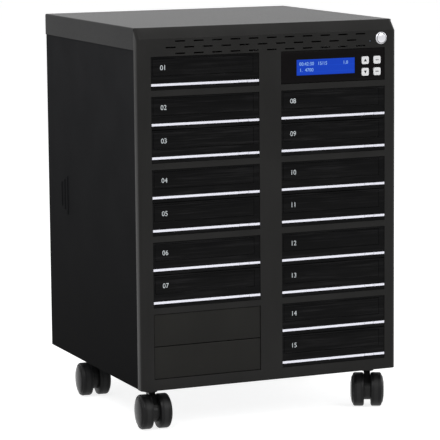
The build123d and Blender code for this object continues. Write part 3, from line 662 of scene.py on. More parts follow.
# ---------------------------------------------------------------- finishes by slot
class Slot(str, Enum):
    """Names of the record's material slots."""

    BEZEL = "bezel_plastic"
    COVER = "cover_paint"
    SIDE = "side_paint"
    REAR = "rear_steel"
    PAN = "pan_steel"
    CAGE = "cage_steel"
    BLANK = "cover_plastic"
    FASCIA = "fascia_plastic"
    DISPLAY = "display"
    BOARD = "board"
    HOUSING = "housing_steel"
    DRIVE = "drive_plastic"
    STRIP = "strip_chrome"
    BUTTON = "button_metal"
    FAN = "fan_plastic"
    ROTOR = "rotor_plastic"
    SUPPLY = "psu_steel"
    ROCKER = "rocker_plastic"
    TRAY = "tray_plastic"
    EJECT = "key_chrome"
    KEY = "key_plastic"
    FORK = "fork_nylon"
    WHEEL = "wheel_nylon"


@dataclass(frozen=True)
class DriveGloss:
    """Black gloss of the drive fronts, with faint level streaks; a tray's deck behind its door is satin."""

    colour: Colour = (0.0030, 0.0030, 0.0032)
    streak_colour: Colour = (0.0150, 0.0146, 0.0152)
    deck_colour: Colour = (0.016, 0.016, 0.017)
    gloss: float = 0.05
    deck_from: float = 1.0
    deck_blur: float = 0.1 * MM
    line_size: Triple = (70 * MM, 70 * MM, 1.6 * MM)
    patch_size: Triple = (50 * MM, 50 * MM, 9 * MM)
    depth: float = 0.01 * MM

    def material(self, name: str) -> bpy.types.Material:
        """Builds the gloss plastic.

        Args:
            name: the material's name.

        Returns:
            The material.
        """
        graph = Graph(name)
        graph.constants(ior_level=self.gloss)
        lines = graph.noise(graph.mapped(size=self.line_size), detail=3.0, rough=0.65)
        patches = graph.noise(graph.mapped(size=self.patch_size), detail=1.0)
        sharp, faded = graph.between(lines, 0, 1, 0.46, 0.72), graph.between(patches, 0.15, 1, 0.35, 0.65)
        streak = graph.math("MULTIPLY", sharp, faded)
        face = graph.blend(streak, self.colour, self.streak_colour)
        start, end = self.deck_from - self.deck_blur, self.deck_from + self.deck_blur
        deck = graph.between(graph.axis("Y"), 0, 1, start, end)
        graph.colour(graph.blend(deck, face, self.deck_colour))
        shine = graph.between(lines, 0.16, 0.28, 0.4, 0.7)
        graph.roughness(graph.math("ADD", shine, graph.math("MULTIPLY", deck, 0.25)))
        graph.relief(lines, self.depth, 0.25)
        return graph.material


@dataclass(frozen=True)
class BlueScreen:
    """Lit blue display with a faint grid of character cells; only its front glows."""

    glow: Colour = (0.0075, 0.058, 0.53)
    cell_glow: Colour = (0.0055, 0.047, 0.47)
    dark: Colour = (0.012, 0.012, 0.013)
    glass: Colour = (0.002, 0.004, 0.02)
    front: float = -171.95 * MM
    front_blur: float = 0.05 * MM
    cell: Pair = (2.85 * MM, 7.8 * MM)
    cell_share: float = 0.86
    corner: Pair = (40.9 * MM, 453.9 * MM)
    cloud_size: float = 20 * MM

    def material(self, name: str) -> bpy.types.Material:
        """Builds the display.

        Args:
            name: the material's name.

        Returns:
            The material.
        """
        graph = Graph(name)
        graph.constants(ior_level=0.06, roughness=0.22)
        start, end = self.front - self.front_blur, self.front + self.front_blur
        lit = graph.between(graph.axis("Y"), 1, 0, start, end)
        inside = None
        for axis, size, edge in zip("XZ", self.cell, self.corner):
            step = graph.math("FLOORED_MODULO", graph.math("SUBTRACT", graph.axis(axis), edge), size)
            within = graph.math("LESS_THAN", step, size * self.cell_share)
            inside = within if inside is None else graph.math("MULTIPLY", inside, within)
        cloud = graph.noise(graph.mapped(size=(self.cloud_size,) * 3), detail=1.0)
        shade = graph.blend(inside, self.glow, self.cell_glow)
        shade = graph.blend(graph.between(cloud, 0, 0.35, 0.35, 0.7), shade, self.cell_glow)
        glow = graph.blend(lit, (0.0, 0.0, 0.0), shade)
        graph.link(glow, graph.shader.inputs["Emission Color"])
        graph.constants(emission_strength=1.0)
        graph.colour(graph.blend(lit, self.dark, self.glass))
        return graph.material


@dataclass(frozen=True)
class Glow:
    """Small lit figures."""

    colour: Colour
    strength: float = 1.0
    unlit: Colour = (0.02, 0.03, 0.05)
    cloud_size: float = 3 * MM
    dimmest: float = 0.8

    def material(self, name: str) -> bpy.types.Material:
        """Builds the lit finish.

        Args:
            name: the material's name.

        Returns:
            The material.
        """
        graph = Graph(name)
        cloud = graph.noise(graph.mapped(size=(self.cloud_size,) * 3), detail=1.0)
        dim = tuple(part * self.dimmest for part in self.colour)
        graph.link(graph.blend(cloud, dim, self.colour), graph.shader.inputs["Emission Color"])
        graph.constants(emission_strength=self.strength, base_color=self.unlit, roughness=0.4)
        return graph.material


@dataclass(frozen=True)
class CircuitBoard:
    """Green board with a net of copper lines under its lacquer."""

    lacquer: Colour = (0.006, 0.055, 0.02)
    copper: Colour = (0.02, 0.12, 0.045)
    mesh_size: float = 4 * MM
    line_share: float = 0.03

    def material(self, name: str) -> bpy.types.Material:
        """Builds the board.

        Args:
            name: the material's name.

        Returns:
            The material.
        """
        graph = Graph(name)
        net = graph.add("ShaderNodeTexBrick")
        net.inputs["Scale"].default_value = 1.0
        net.inputs["Mortar Size"].default_value = self.line_share
        where = graph.mapped(turn=(math.pi / 2, 0, 0), size=(self.mesh_size,) * 3)
        graph.link(where, net.inputs["Vector"])
        graph.colour(graph.blend(net.outputs["Fac"], self.lacquer, self.copper))
        graph.constants(roughness=0.35, ior_level=0.5)
        return graph.material


Recipe = PowderCoat | MouldedPlastic | PlatedMetal | DriveGloss | BlueScreen | Glow | CircuitBoard


@dataclass(frozen=True)
class Finishes:
    """All materials of the tower, by slot and by name."""

    made: dict[str, bpy.types.Material] = field(default_factory=dict)

    RECIPES: ClassVar[dict[str, Recipe]] = {
        Slot.BEZEL.value: MouldedPlastic(
            (0.0158, 0.0155, 0.0150), roughness=0.34, gloss=0.02, grain=0.7 * MM, depth=0.012 * MM,
            drift=0.18, coat=0.13,
        ),
        Slot.COVER.value: PowderCoat(
            (0.017, 0.017, 0.0175), cloud=(0.022, 0.022, 0.0225), roughness=0.31, gloss=0.035,
            grain=1.1 * MM, depth=0.05 * MM,
        ),
        # the side paint keeps 0.22 of its colour at its foot: painted shade towards the floor
        Slot.SIDE.value: PowderCoat(
            (0.0165, 0.0169, 0.0182), cloud=(0.0215, 0.0219, 0.0234), roughness=0.42, gloss=0.003,
            grain=1.1 * MM, depth=0.06 * MM, foot=0.22,
        ),
        Slot.REAR.value: PlatedMetal(
            (0.42, 0.43, 0.44), metallic=0.9, roughness=0.42, grain=(3 * MM, 3 * MM, 3 * MM), drift=0.1,
        ),
        Slot.PAN.value: PlatedMetal(
            (0.42, 0.43, 0.44), metallic=0.9, roughness=0.42, grain=(4 * MM, 4 * MM, 4 * MM), drift=0.12,
        ),
        Slot.CAGE.value: PlatedMetal(
            (0.48, 0.49, 0.50), metallic=0.9, roughness=0.38, grain=(5 * MM, 5 * MM, 5 * MM), drift=0.16,
        ),
        Slot.BLANK.value: MouldedPlastic(
            (0.0190, 0.0187, 0.0174), roughness=0.34, gloss=0.05, grain=0.6 * MM, depth=0.02 * MM,
            drift=0.12,
        ),
        Slot.FASCIA.value: MouldedPlastic(
            (0.0034, 0.0028, 0.0030), roughness=0.24, gloss=0.045, grain=0.5 * MM, depth=0.012 * MM,
            drift=0.15,
        ),
        Slot.DISPLAY.value: BlueScreen(),
        Slot.BOARD.value: CircuitBoard(),
        Slot.HOUSING.value: PlatedMetal(
            (0.55, 0.56, 0.57), metallic=0.95, roughness=0.34, grain=(40 * MM, 0.6 * MM, 40 * MM),
            drift=0.12,
        ),
        Slot.DRIVE.value: DriveGloss(),
        Slot.STRIP.value: PlatedMetal(
            (0.78, 0.78, 0.86), metallic=0.6, roughness=0.26, grain=(30 * MM, 30 * MM, 0.5 * MM),
            drift=0.06,
        ),
        Slot.BUTTON.value: PlatedMetal(
            (0.66, 0.66, 0.69), metallic=0.85, roughness=0.27, grain=(0.5 * MM, 12 * MM, 12 * MM),
            drift=0.08,
        ),
        Slot.FAN.value: MouldedPlastic((0.010, 0.010, 0.0105), roughness=0.42, gloss=0.3, grain=0.8 * MM),
        Slot.ROTOR.value: MouldedPlastic(
            (0.013, 0.013, 0.014), roughness=0.36, gloss=0.35, grain=0.8 * MM,
        ),
        Slot.SUPPLY.value: PlatedMetal(
            (0.46, 0.47, 0.48), metallic=0.9, roughness=0.40, grain=(4 * MM, 4 * MM, 4 * MM), drift=0.14,
        ),
        Slot.ROCKER.value: MouldedPlastic(
            (0.012, 0.012, 0.012), roughness=0.22, gloss=0.4, grain=0.6 * MM, depth=0.01 * MM,
        ),
        Slot.TRAY.value: DriveGloss(deck_from=-169.4 * MM),
        Slot.EJECT.value: PlatedMetal(
            (0.80, 0.80, 0.88), metallic=0.60, roughness=0.24, grain=(20 * MM, 20 * MM, 0.5 * MM),
            drift=0.06,
        ),
        Slot.KEY.value: MouldedPlastic(
            (0.78, 0.78, 0.79), roughness=0.35, gloss=0.4, grain=0.5 * MM, depth=0.008 * MM, drift=0.04,
        ),
        Slot.FORK.value: MouldedPlastic(
            (0.012, 0.012, 0.012), roughness=0.36, gloss=0.18, grain=0.6 * MM, depth=0.02 * MM,
        ),
        Slot.WHEEL.value: MouldedPlastic(
            (0.0085, 0.0085, 0.0088), roughness=0.40, gloss=0.13, grain=0.6 * MM, depth=0.02 * MM,
        ),
        "wheel_cap_gloss": MouldedPlastic(
            (0.016, 0.016, 0.0165), roughness=0.22, gloss=0.07, grain=1.2 * MM, depth=0.006 * MM,
            drift=0.12,
        ),
        "tread_strip": MouldedPlastic(
            (0.014, 0.014, 0.0142), roughness=0.45, gloss=0.16, grain=0.5 * MM, depth=0.02 * MM,
        ),
        "white_print": MouldedPlastic(
            (0.60, 0.64, 0.66), roughness=0.5, gloss=0.2, grain=0.4 * MM, depth=0.004 * MM, drift=0.1,
        ),
        "dark_print": MouldedPlastic(
            (0.004, 0.004, 0.005), roughness=0.5, gloss=0.04, grain=0.4 * MM, depth=0.004 * MM,
            drift=0.1,
        ),
        "grey_print": MouldedPlastic(
            (0.26, 0.26, 0.27), roughness=0.5, gloss=0.2, grain=0.4 * MM, depth=0.004 * MM, drift=0.1,
        ),
        "screen_figures": Glow((0.30, 0.55, 0.95), strength=0.95),
        "lamp_lens": MouldedPlastic(
            (0.02, 0.03, 0.05), roughness=0.08, gloss=0.6, grain=1.0 * MM, depth=0.002 * MM,
        ),
        # near-black finish for the groove round the power button's crown: painted shade
        "button_ring": MouldedPlastic(
            (0.006, 0.006, 0.006), roughness=0.25, gloss=0.3, grain=0.5 * MM, depth=0.008 * MM,
        ),
        "screw_steel": PlatedMetal(
            (0.62, 0.62, 0.60), metallic=1.0, roughness=0.28, grain=(0.6 * MM, 0.6 * MM, 0.6 * MM),
            drift=0.18,
        ),
        "pin_brass": PlatedMetal(
            (0.72, 0.60, 0.38), metallic=1.0, roughness=0.25, grain=(1 * MM, 1 * MM, 1 * MM), drift=0.1,
        ),
    }

    def of(self, name: str) -> bpy.types.Material:
        """A material by its slot or name, built on first use.

        Args:
            name: slot value or finish name.

        Returns:
            The material.
        """
        if name not in self.made:
            self.made[name] = self.RECIPES[name].material(name)
        return self.made[name]


def joint_of(child: str) -> dict:
    """The joint by which a body moves."""
    return next(joint for joint in frame["joints"] if joint["child"] == child)


def middle_of(node: str) -> Vector:
    """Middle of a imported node's box."""
    low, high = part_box(node)
    return (low + high) / 2


# ---------------------------------------------------------------- sub-assemblies
@dataclass
class PackedNodes:
    """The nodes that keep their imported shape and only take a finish."""

    finishes: Finishes

    def dress(self) -> None:
        """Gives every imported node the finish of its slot."""
        for part in frame["record"]["subparts"]:
            slots = frame["nodes"][part["node"]].data.materials
            slots.clear()
            slots.append(self.finishes.of(part["material_slot"]))
            LOG.info("%s wears %s", part["node"], part["material_slot"])


@dataclass
class RoundedShells:
    """Moulded pieces again, with their sharp edges rounded."""

    finishes: Finishes
    slope_foot: float = 503.9 * MM
    foot_margin: float = 0.3 * MM
    long_edge: float = 100 * MM
    lesser: float = 0.4
    weld: float = 2e-6
    flat_within: float = math.radians(1.0)

    WIDTHS: ClassVar[dict[str, float]] = {
        "front_bezel": 1.5 * MM,
        "bay_covers": 2.0 * MM,
        "control_fascia": 1.3 * MM,
    }

    def weigh(self, solid: Solid) -> None:
        """Gives the long edge under the sloped strip its full round, and the other edges less.

        Args:
            solid: the piece before it is rounded.
        """
        weights = solid.bm.edges.layers.float.new(BEVEL_WEIGHT)
        for edge in solid.bm.edges:
            if len(edge.link_faces) != 2 or edge.calc_face_angle(0.0) < BEVEL_FROM:
                continue
            off = max(abs(vertex.co.z - self.slope_foot) for vertex in edge.verts)
            on_break = off < self.foot_margin and edge.calc_length() > self.long_edge
            edge[weights] = 1.0 if on_break else self.lesser

    def shell(self, node: str, width: float) -> None:
        """Makes one rounded piece in place of its node.

        Args:
            node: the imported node.
            width: width of the fully rounded edges.
        """
        packed = frame["nodes"][node]
        mesh = packed.data.copy()
        normals = mesh.attributes.get("custom_normal")
        if normals:
            mesh.attributes.remove(normals)
        solid = Solid()
        solid.take(mesh, Matrix.Identity(4))
        bm = solid.bm
        bmesh.ops.remove_doubles(bm, verts=bm.verts, dist=self.weld)
        bmesh.ops.dissolve_limit(bm, angle_limit=self.flat_within, verts=bm.verts, edges=bm.edges)
        self.weigh(solid)
        parts = frame["record"]["subparts"]
        slot = next(part["material_slot"] for part in parts if part["node"] == node)
        coats = [self.finishes.of(slot)]
        solid.piece(f"{node}_rounded", packed["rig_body"], coats, (node,), width)

    def build(self) -> None:
        """Makes every rounded piece."""
        for node, width in self.WIDTHS.items():
            self.shell(node, width)


@dataclass
class DiscTrays:
    """Sliding trays with smooth round recesses for both disc sizes."""

    finishes: Finishes
    door_wall: float = 3.0 * MM
    drive_width: float = 148.0 * MM
    width: float = 128.0 * MM
    length: float = 158.0 * MM
    rise: float = 3.6 * MM
    thickness: float = 8.0 * MM
    front_rim: float = 6.0 * MM
    tuck: float = 0.4 * MM
    large_radius: float = 60.8 * MM
    large_depth: float = 2.0 * MM
    small_radius: float = 40.6 * MM
    small_depth: float = 3.5 * MM
    recess_sides: int = 96
    slot: float = 36.0 * MM
    cutter_margin: float = 1.0 * MM
    edge: float = 0.35 * MM

    def cut(self, thing: bpy.types.Object, cutter: Solid) -> None:
        """Cuts a form out of an object.

        Args:
            thing: the object that is cut.
            cutter: the form that goes.
        """
        mesh = cutter.mesh("cutter")
        tool = put("cutter", mesh)
        difference = thing.modifiers.new("cut", "BOOLEAN")
        difference.object, difference.operation, difference.solver = tool, "DIFFERENCE", "EXACT"
        flatten(thing)
        bpy.data.objects.remove(tool)
        bpy.data.meshes.remove(mesh)

    def deck(self) -> bpy.types.Mesh:
        """Makes the deck of every tray.

        Returns:
            The deck about the middle of its front edge, with its underside at zero.
        """
        plate = Solid()
        low = Vector((-self.width / 2, -self.tuck, 0.0))
        plate.bar(low, Vector((self.width / 2, self.length, self.thickness)))
        thing = put("deck", plate.mesh("deck"))
        centre, top = self.front_rim + self.large_radius, self.thickness + self.cutter_margin
        recesses = ((self.large_radius, self.large_depth), (self.small_radius, self.small_depth))
        for radius, depth in recesses:
            well = Solid()
            bottom = self.thickness - depth
            profile = [(0.0, bottom), (radius, bottom), (radius, top), (0.0, top)]
            well.lathe(profile, Matrix.Translation((0, centre, 0)), self.recess_sides)
            self.cut(thing, well)
        gap = Solid()
        low = Vector((-self.slot / 2, centre - self.slot / 2, -self.cutter_margin))
        gap.bar(low, Vector((self.slot / 2, centre + self.small_radius, top)))
        self.cut(thing, gap)
        done = thing.data.copy()
        bpy.data.objects.remove(thing)
        return done

    def build(self) -> None:
        """Makes all trays, each with its door."""
        deck = self.deck()
        coats = [self.finishes.of(Slot.TRAY.value)]
        for number in range(1, DRIVES + 1):
            node = f"disc_tray_{number:02d}"
            low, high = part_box(node)
            middle, back = low.x - DOOR_LEFT + self.drive_width / 2, low.y + self.door_wall
            solid = Solid()
            solid.take(deck.copy(), Matrix.Translation((middle, back, low.z + self.rise)))
            solid.bar(low, Vector((high.x, back, high.z)))
            name, body = f"smooth_tray_{number:02d}", f"tray_{number:02d}"
            solid.piece(name, body, coats, (node,), self.edge)
        bpy.data.meshes.remove(deck)


@dataclass
class DriveMarks:
    """Plain number of each drive, printed on its tray's door."""

    finishes: Finishes
    thickness: float = 0.06 * MM
    sunk: float = 0.01 * MM
    figure_height: float = 6.2 * MM
    figure_squeeze: float = 0.95
    figure_left: float = 12.4 * MM
    figure_drop: float = 16.6 * MM

    def mark(self, number: int) -> None:
        """Prints the number of one drive.

        Args:
            number: the drive's number.
        """
        low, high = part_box(f"disc_tray_{number:02d}")
        left, top = low.x - DOOR_LEFT, high.z + DOOR_DROP
        figure = lettering(f"{number:02d}", self.figure_height, 2 * self.thickness)
        place = facing_front(left + self.figure_left, low.y + self.sunk, top - self.figure_drop)
        solid = Solid()
        solid.take(figure, place @ Matrix.Diagonal((self.figure_squeeze, 1.0, 1.0, 1.0)))
        coats = [self.finishes.of("white_print")]
        solid.piece(f"door_marks_{number:02d}", f"tray_{number:02d}", coats)

    def build(self) -> None:
        """Prints the numbers of all drives."""
        for number in range(1, DRIVES + 1):
            self.mark(number)


@dataclass
class ControlPanel:
    """Figures on the display, signs on the keys, the power button and its lamp.

    LINES holds each text, and where it starts across and down from the screen's upper left corner.
    UPWARD, DOWNWARD and DASH are corners about a key's middle, in millimetres. DOME holds a share
    of the button's radius and the fall below its crown, in millimetres; DOME_COATS is 1 in the groove round
    the crown, which is painted dark as shade.
    """

    finishes: Finishes
    screen_left: float = 37.46 * MM
    screen_top: float = 469.35 * MM
    screen_front: float = -172.1 * MM
    figure_height: float = 4.3 * MM
    figure_squeeze: float = 0.98
    thickness: float = 0.08 * MM
    sunk: float = 0.01 * MM
    lamp_place: Triple = (142.21 * MM, -172.6 * MM, 489.9 * MM)
    lamp_radius: float = 1.45 * MM
    lamp_length: float = 2.0 * MM
    lamp_dome: float = 0.6
    lamp_steps: int = 6
    lamp_sides: int = 32

    LINES: ClassVar[tuple[tuple[str, Pair], ...]] = (
        ("00:42:30   15/15", (3.6 * MM, 7.7 * MM)),
        ("1.0", (66.0 * MM, 7.7 * MM)),
        ("1.  4700", (3.9 * MM, 15.6 * MM)),
    )
    UPWARD: ClassVar[tuple[Pair, ...]] = ((-2.1, -1.6), (2.1, -1.6), (0.0, 2.1))
    DOWNWARD: ClassVar[tuple[Pair, ...]] = ((-2.1, 1.6), (2.1, 1.6), (0.0, -2.1))
    DASH: ClassVar[tuple[Pair, ...]] = ((-2.3, -0.75), (2.3, -0.75), (2.3, 0.75), (-2.3, 0.75))
    DOME: ClassVar[tuple[Pair, ...]] = (
        (0.0, 0.0), (0.30, 0.05), (0.52, 0.22), (0.66, 0.48), (0.76, 0.80), (0.78, 1.15),
        (0.84, 1.15), (0.86, 0.95), (0.95, 1.35), (1.0, 2.0),
    )
    # 1 marks the groove round the crown, painted dark as shade
    DOME_COATS: ClassVar[tuple[int, ...]] = (0, 0, 0, 0, 1, 1, 1, 0, 0, 0, 0)

    def figures(self) -> None:
        """Puts two lines of figures on the display."""
        solid = Solid()
        squeeze = Matrix.Diagonal((self.figure_squeeze, 1.0, 1.0, 1.0))
        for text, (across, down) in self.LINES:
            mesh = lettering(text, self.figure_height, self.thickness)
            place = facing_front(self.screen_left + across, self.screen_front, self.screen_top - down)
            solid.take(mesh, place @ squeeze)
        coats = [self.finishes.of("screen_figures")]
        solid.piece("display_figures", "cabinet", coats)

    def key_sign(self, body: str, outline: tuple[Pair, ...], finish: str) -> None:
        """Puts a flat sign on a key.

        Args:
            body: the key's body, which also names its node.
            outline: corners about the key's middle, in millimetres.
            finish: the print's finish.
        """
        front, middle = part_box(f"{body}_key")[0].y + self.sunk, middle_of(f"{body}_key")
        corners = [Vector((middle.x + x * MM, front, middle.z + z * MM)) for x, z in outline]
        solid = Solid()
        solid.prism(corners, Vector((0, -self.thickness, 0)))
        solid.piece(f"{body}_sign", body, [self.finishes.of(finish)])

    def signs(self) -> None:
        """Puts the signs on the four keys."""
        self.key_sign("up", self.UPWARD, "dark_print")
        self.key_sign("down", self.DOWNWARD, "dark_print")
        self.key_sign("enter", self.DASH, "grey_print")
        self.key_sign("escape", self.DASH, "grey_print")

    def button(self) -> None:
        """Makes the domed power button; the groove round its crown is painted dark as shade."""
        low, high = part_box("power_button")
        radius, depth = (high.x - low.x) / 2, high.y - low.y
        profile = [(radius * share, depth - fall * MM) for share, fall in self.DOME]
        profile += [(radius, 0.0), (0.0, 0.0)]
        middle = middle_of("power_button")
        solid = Solid()
        solid.lathe(profile, facing_front(middle.x, high.y, middle.z), 64, self.DOME_COATS)
        # the groove round the crown takes the near-black finish, painted shade
        coats = [self.finishes.of(Slot.BUTTON.value), self.finishes.of("button_ring")]
        solid.piece("power_button_dome", "power", coats, ("power_button",))

    def lamp_lens(self) -> None:
        """Makes the small domed lens beside the button."""
        radius, length, rise = self.lamp_radius, self.lamp_length, self.lamp_dome * self.lamp_radius
        turns = [index * math.pi / 2 / self.lamp_steps for index in range(self.lamp_steps)]
        dome = [(radius * math.cos(turn), length + rise * math.sin(turn)) for turn in turns]
        profile = [(0.0, 0.0), (radius, 0.0), *dome, (0.0, length + rise)]
        x, front, z = self.lamp_place
        solid = Solid()
        solid.lathe(profile, facing_front(x, front + length, z), self.lamp_sides)
        solid.piece("lamp_lens", "cabinet", [self.finishes.of("lamp_lens")])

    def build(self) -> None:
        """Makes all small pieces of the panel and the strip above it."""
        self.figures()
        self.signs()
        self.button()
        self.lamp_lens()


class Corner(str, Enum):
    """The four casters."""

    FRONT_LEFT = "front_left"
    FRONT_RIGHT = "front_right"
    REAR_LEFT = "rear_left"
    REAR_RIGHT = "rear_right"


@dataclass
class Casters:
    """Smooth twin wheels with glossy caps and a tread strip, on a short axle.

    RIM holds how far each point of a wheel lies inside its tread and out from its inner face, in
    millimetres. COATS holds the finish of each stretch: 0 body, 1 cap and rim, 2 tread strip.
    """

    finishes: Finishes
    radius: float = 22.5 * MM
    gap: float = 9.0 * MM
    width: float = 18.0 * MM
    axle: float = 2.45 * MM
    axle_overlap: float = 0.2 * MM
    wheel_sides: int = 96
    axle_sides: int = 32

    RIM: ClassVar[tuple[Pair, ...]] = (
        (2.4, 0.0), (0.9, 0.5), (0.0, 2.0), (0.0, 4.6), (0.0, 9.6), (0.0, 12.0), (0.4, 13.3),
        (1.3, 14.4), (2.1, 14.6), (2.3, 13.9), (3.2, 13.9), (3.5, 14.8), (4.6, 16.0), (7.5, 16.7),
        (13.0, 17.75),
    )
    COATS: ClassVar[tuple[int, ...]] = (0, 0, 0, 0, 2, 0, 0, 1, 1, 0, 0, 0, 1, 1, 1, 1)

    def wheel_profile(self) -> list[Pair]:
        """Outline of one wheel.

        Returns:
            Radius and height of each point, from the inner face to the middle of the cap.
        """
        inner = self.gap / 2
        rim = [(self.radius - inset * MM, inner + out * MM) for inset, out in self.RIM]
        return [(0.0, inner), *rim, (0.0, inner + self.width)]

    def turned(self, centre: Vector, way: Vector) -> Matrix:
        """Placement of a turned form.

        Args:
            centre: where its origin lies.
            way: the direction of its axis.

        Returns:
            The placement.
        """
        turn = Vector((0, 0, 1)).rotation_difference(way).to_matrix().to_4x4()
        return Matrix.Translation(centre) @ turn

    def wheels(self, corner: Corner) -> None:
        """Makes a pair of wheels on one axle.

        Args:
            corner: which caster.
        """
        body = f"wheels_{corner.value}"
        joint = joint_of(body)
        centre, axis = Vector(joint["pos_m"]), Vector(joint["axis"]).normalized()
        solid = Solid()
        for way in (axis, -axis):
            solid.lathe(self.wheel_profile(), self.turned(centre, way), self.wheel_sides, self.COATS)
        end = self.gap / 2 + self.axle_overlap
        rod = [(0.0, -end), (self.axle, -end), (self.axle, end), (0.0, end)]
        solid.lathe(rod, self.turned(centre, axis), self.axle_sides)
        coats = [self.finishes.of(name) for name in (Slot.WHEEL.value, "wheel_cap_gloss", "tread_strip")]
        node = f"caster_wheels_{corner.value}"
        solid.piece(f"twin_wheels_{corner.value}", body, coats, (node,))

    def build(self) -> None:
        """Makes the wheels of all four casters."""
        for corner in Corner:
            self.wheels(corner)


@dataclass
class RearFittings:
    """Curved fan rotor, inlet pins and the screws of the rear.

    PIN_SHIFTS is across and up from the inlet's middle, HUB_EDGE inside the hub's rim and along the
    axis, and SIDE_SCREWS and TOP_SCREWS across and up on the rear panel, all in millimetres.
    SCREW_RINGS holds each ring's radius on the cross's arms and between them, and its level, as
    shares of the screw head's radius and height.
    """

    finishes: Finishes
    blades: int = 7
    hub: float = 20.0 * MM
    hub_short: float = 4.0 * MM
    shaft: float = 2.4 * MM
    shaft_overlap: float = 0.4 * MM
    tip_gap: float = 0.2 * MM
    root_sunk: float = 0.6 * MM
    blade_start: float = 1.2 * MM
    blade_short: float = 5.5 * MM
    blade_wall: float = 1.4 * MM
    blade_bow: float = 1.6 * MM
    blade_sweep: float = 0.35
    blade_run: float = 0.98
    blade_steps: tuple[int, int] = (8, 6)
    root_angle: float = math.radians(48)
    tip_angle: float = math.radians(28)
    pin_place: Triple = (-138.44 * MM, 157.5 * MM, 133.0 * MM)
    pin_size: Triple = (2.0 * MM, 13.0 * MM, 4.0 * MM)
    pin_edge: float = 0.3 * MM
    screw_radius: float = 3.1 * MM
    screw_height: float = 1.5 * MM
    screw_sides: int = 16
    screw_turn: float = 1.4
    fan_screws: float = 52.5 * MM

    PIN_SHIFTS: ClassVar[tuple[Pair, ...]] = ((-7.0, -2.0), (7.0, -2.0), (0.0, 3.0))
    HUB_EDGE: ClassVar[tuple[Pair, ...]] = ((1.6, 0.0), (0.4, 0.5), (0.0, 1.6))
    SCREW_RINGS: ClassVar[tuple[Triple, ...]] = (
        (1.0, 1.0, 0.0), (1.0, 1.0, 0.45), (0.78, 0.78, 0.9), (0.62, 0.62, 1.0),
        (0.55, 0.2, 1.0), (0.42, 0.16, 0.35),
    )
    SIDE_SCREWS: ClassVar[tuple[tuple[float, ...], tuple[float, ...]]] = (
        (-168.0, 167.0), (178.0, 300.0, 420.0, 500.0),
    )
    TOP_SCREWS: ClassVar[tuple[tuple[float, ...], tuple[float, ...]]] = ((-60.0, 40.0), (505.0,))

    def sheet(self, place: Matrix, low: float, high: float, reach: float, side: float) -> list[list[Vector]]:
        """One face of a twisted and swept blade.

        Args:
            place: turns the blade about the fan's axis.
            low: rear end of the blade along the axis.
            high: front end of the blade along the axis.
            reach: radius of the tip.
            side: -0.5 for its underside, 0.5 for its upper side.

        Returns:
            Rows of points, from the hub to the tip.
        """
        along, across = self.blade_steps
        rows = []
        for step in range(along + 1):
            share = step / along
            radius = (self.hub - self.root_sunk) * (1 - share) + reach * share
            pitch = self.root_angle * (1 - share) + self.tip_angle * share
            chord = (high - low) / math.sin(pitch)
            row = []
            for cut in range(across + 1):
                run = (cut / across - 0.5) * chord
                bow = self.blade_bow * (1 - (2 * cut / across - 1) ** 2)
                swing = (run * math.cos(pitch) - bow * math.sin(pitch)) / radius
                turn = swing + self.blade_sweep * share**2
                rise = run * math.sin(pitch) * self.blade_run
                lift = min(max((low + high) / 2 + rise + side * self.blade_wall, low), high)
                row.append(place @ Vector((radius * math.cos(turn), radius * math.sin(turn), lift)))
            rows.append(row)
        return rows

    def blade(self, solid: Solid, place: Matrix, low: float, high: float, reach: float) -> None:
        """Adds one blade: two sheets and the rim between them.

        Args:
            solid: the piece that takes it.
            place: turns the blade about the fan's axis.
            low: rear end of the blade along the axis.
            high: front end of the blade along the axis.
            reach: radius of the tip.
        """
        along, across = self.blade_steps
        sheets = [self.sheet(place, low, high, reach, side) for side in (-0.5, 0.5)]
        under, over = ([[solid.bm.verts.new(point) for point in row] for row in sheet] for sheet in sheets)
        for i in range(along):
            for j in range(across):
                solid.bm.faces.new((under[i][j], under[i][j + 1], under[i + 1][j + 1], under[i + 1][j]))
                solid.bm.faces.new((over[i][j], over[i + 1][j], over[i + 1][j + 1], over[i][j + 1]))
        rim = [(i, 0) for i in range(along)] + [(along, j) for j in range(across)]
        rim += [(i, across) for i in range(along, 0, -1)] + [(0, j) for j in range(across, 0, -1)]
        for (a, b), (c, d) in zip(rim, rim[1:] + rim[:1]):
            solid.bm.faces.new((under[a][b], under[c][d], over[c][d], over[a][b]))

    def rotor(self) -> None:
        """Makes the rotor with its curved blades and rounded hub."""
        low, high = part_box("fan_rotor")
        centre = Vector(joint_of("rotor")["pos_m"])
        reach = min(high.x - low.x, high.z - low.z) / 2 - self.tip_gap
        depth = high.y - low.y
        turn = Matrix.Rotation(-math.pi / 2, 4, "X")
        base = Matrix.Translation((centre.x, low.y, centre.z)) @ turn
        top = depth - self.hub_short
        edge = [(self.hub - inset * MM, up * MM) for inset, up in self.HUB_EDGE]
        foot = top - self.shaft_overlap
        solid = Solid()
        solid.lathe([(0.0, 0.0), *edge, (self.hub, top), (0.0, top)], base, 64)
        solid.lathe([(0.0, foot), (self.shaft, foot), (self.shaft, depth), (0.0, depth)], base, 24)
        for index in range(self.blades):
            spin = Matrix.Rotation(2 * math.pi * index / self.blades, 4, "Z")
            self.blade(solid, base @ spin, self.blade_start, depth - self.blade_short, reach)
        coats = [self.finishes.of(Slot.ROTOR.value)]
        solid.piece("curved_rotor", "rotor", coats, ("fan_rotor",))

    def inlet_pins(self) -> None:
        """Makes the three flat pins of the mains inlet."""
        x, back, z = self.pin_place
        width, length, height = self.pin_size
        solid = Solid()
        for shift, lift in self.PIN_SHIFTS:
            corner = Vector((x + shift * MM - width / 2, back, z + lift * MM - height / 2))
            solid.bar(corner, corner + Vector((width, length, height)))
        coats = [self.finishes.of("pin_brass")]
        solid.piece("inlet_pins", "cabinet", coats, bevel=self.pin_edge)

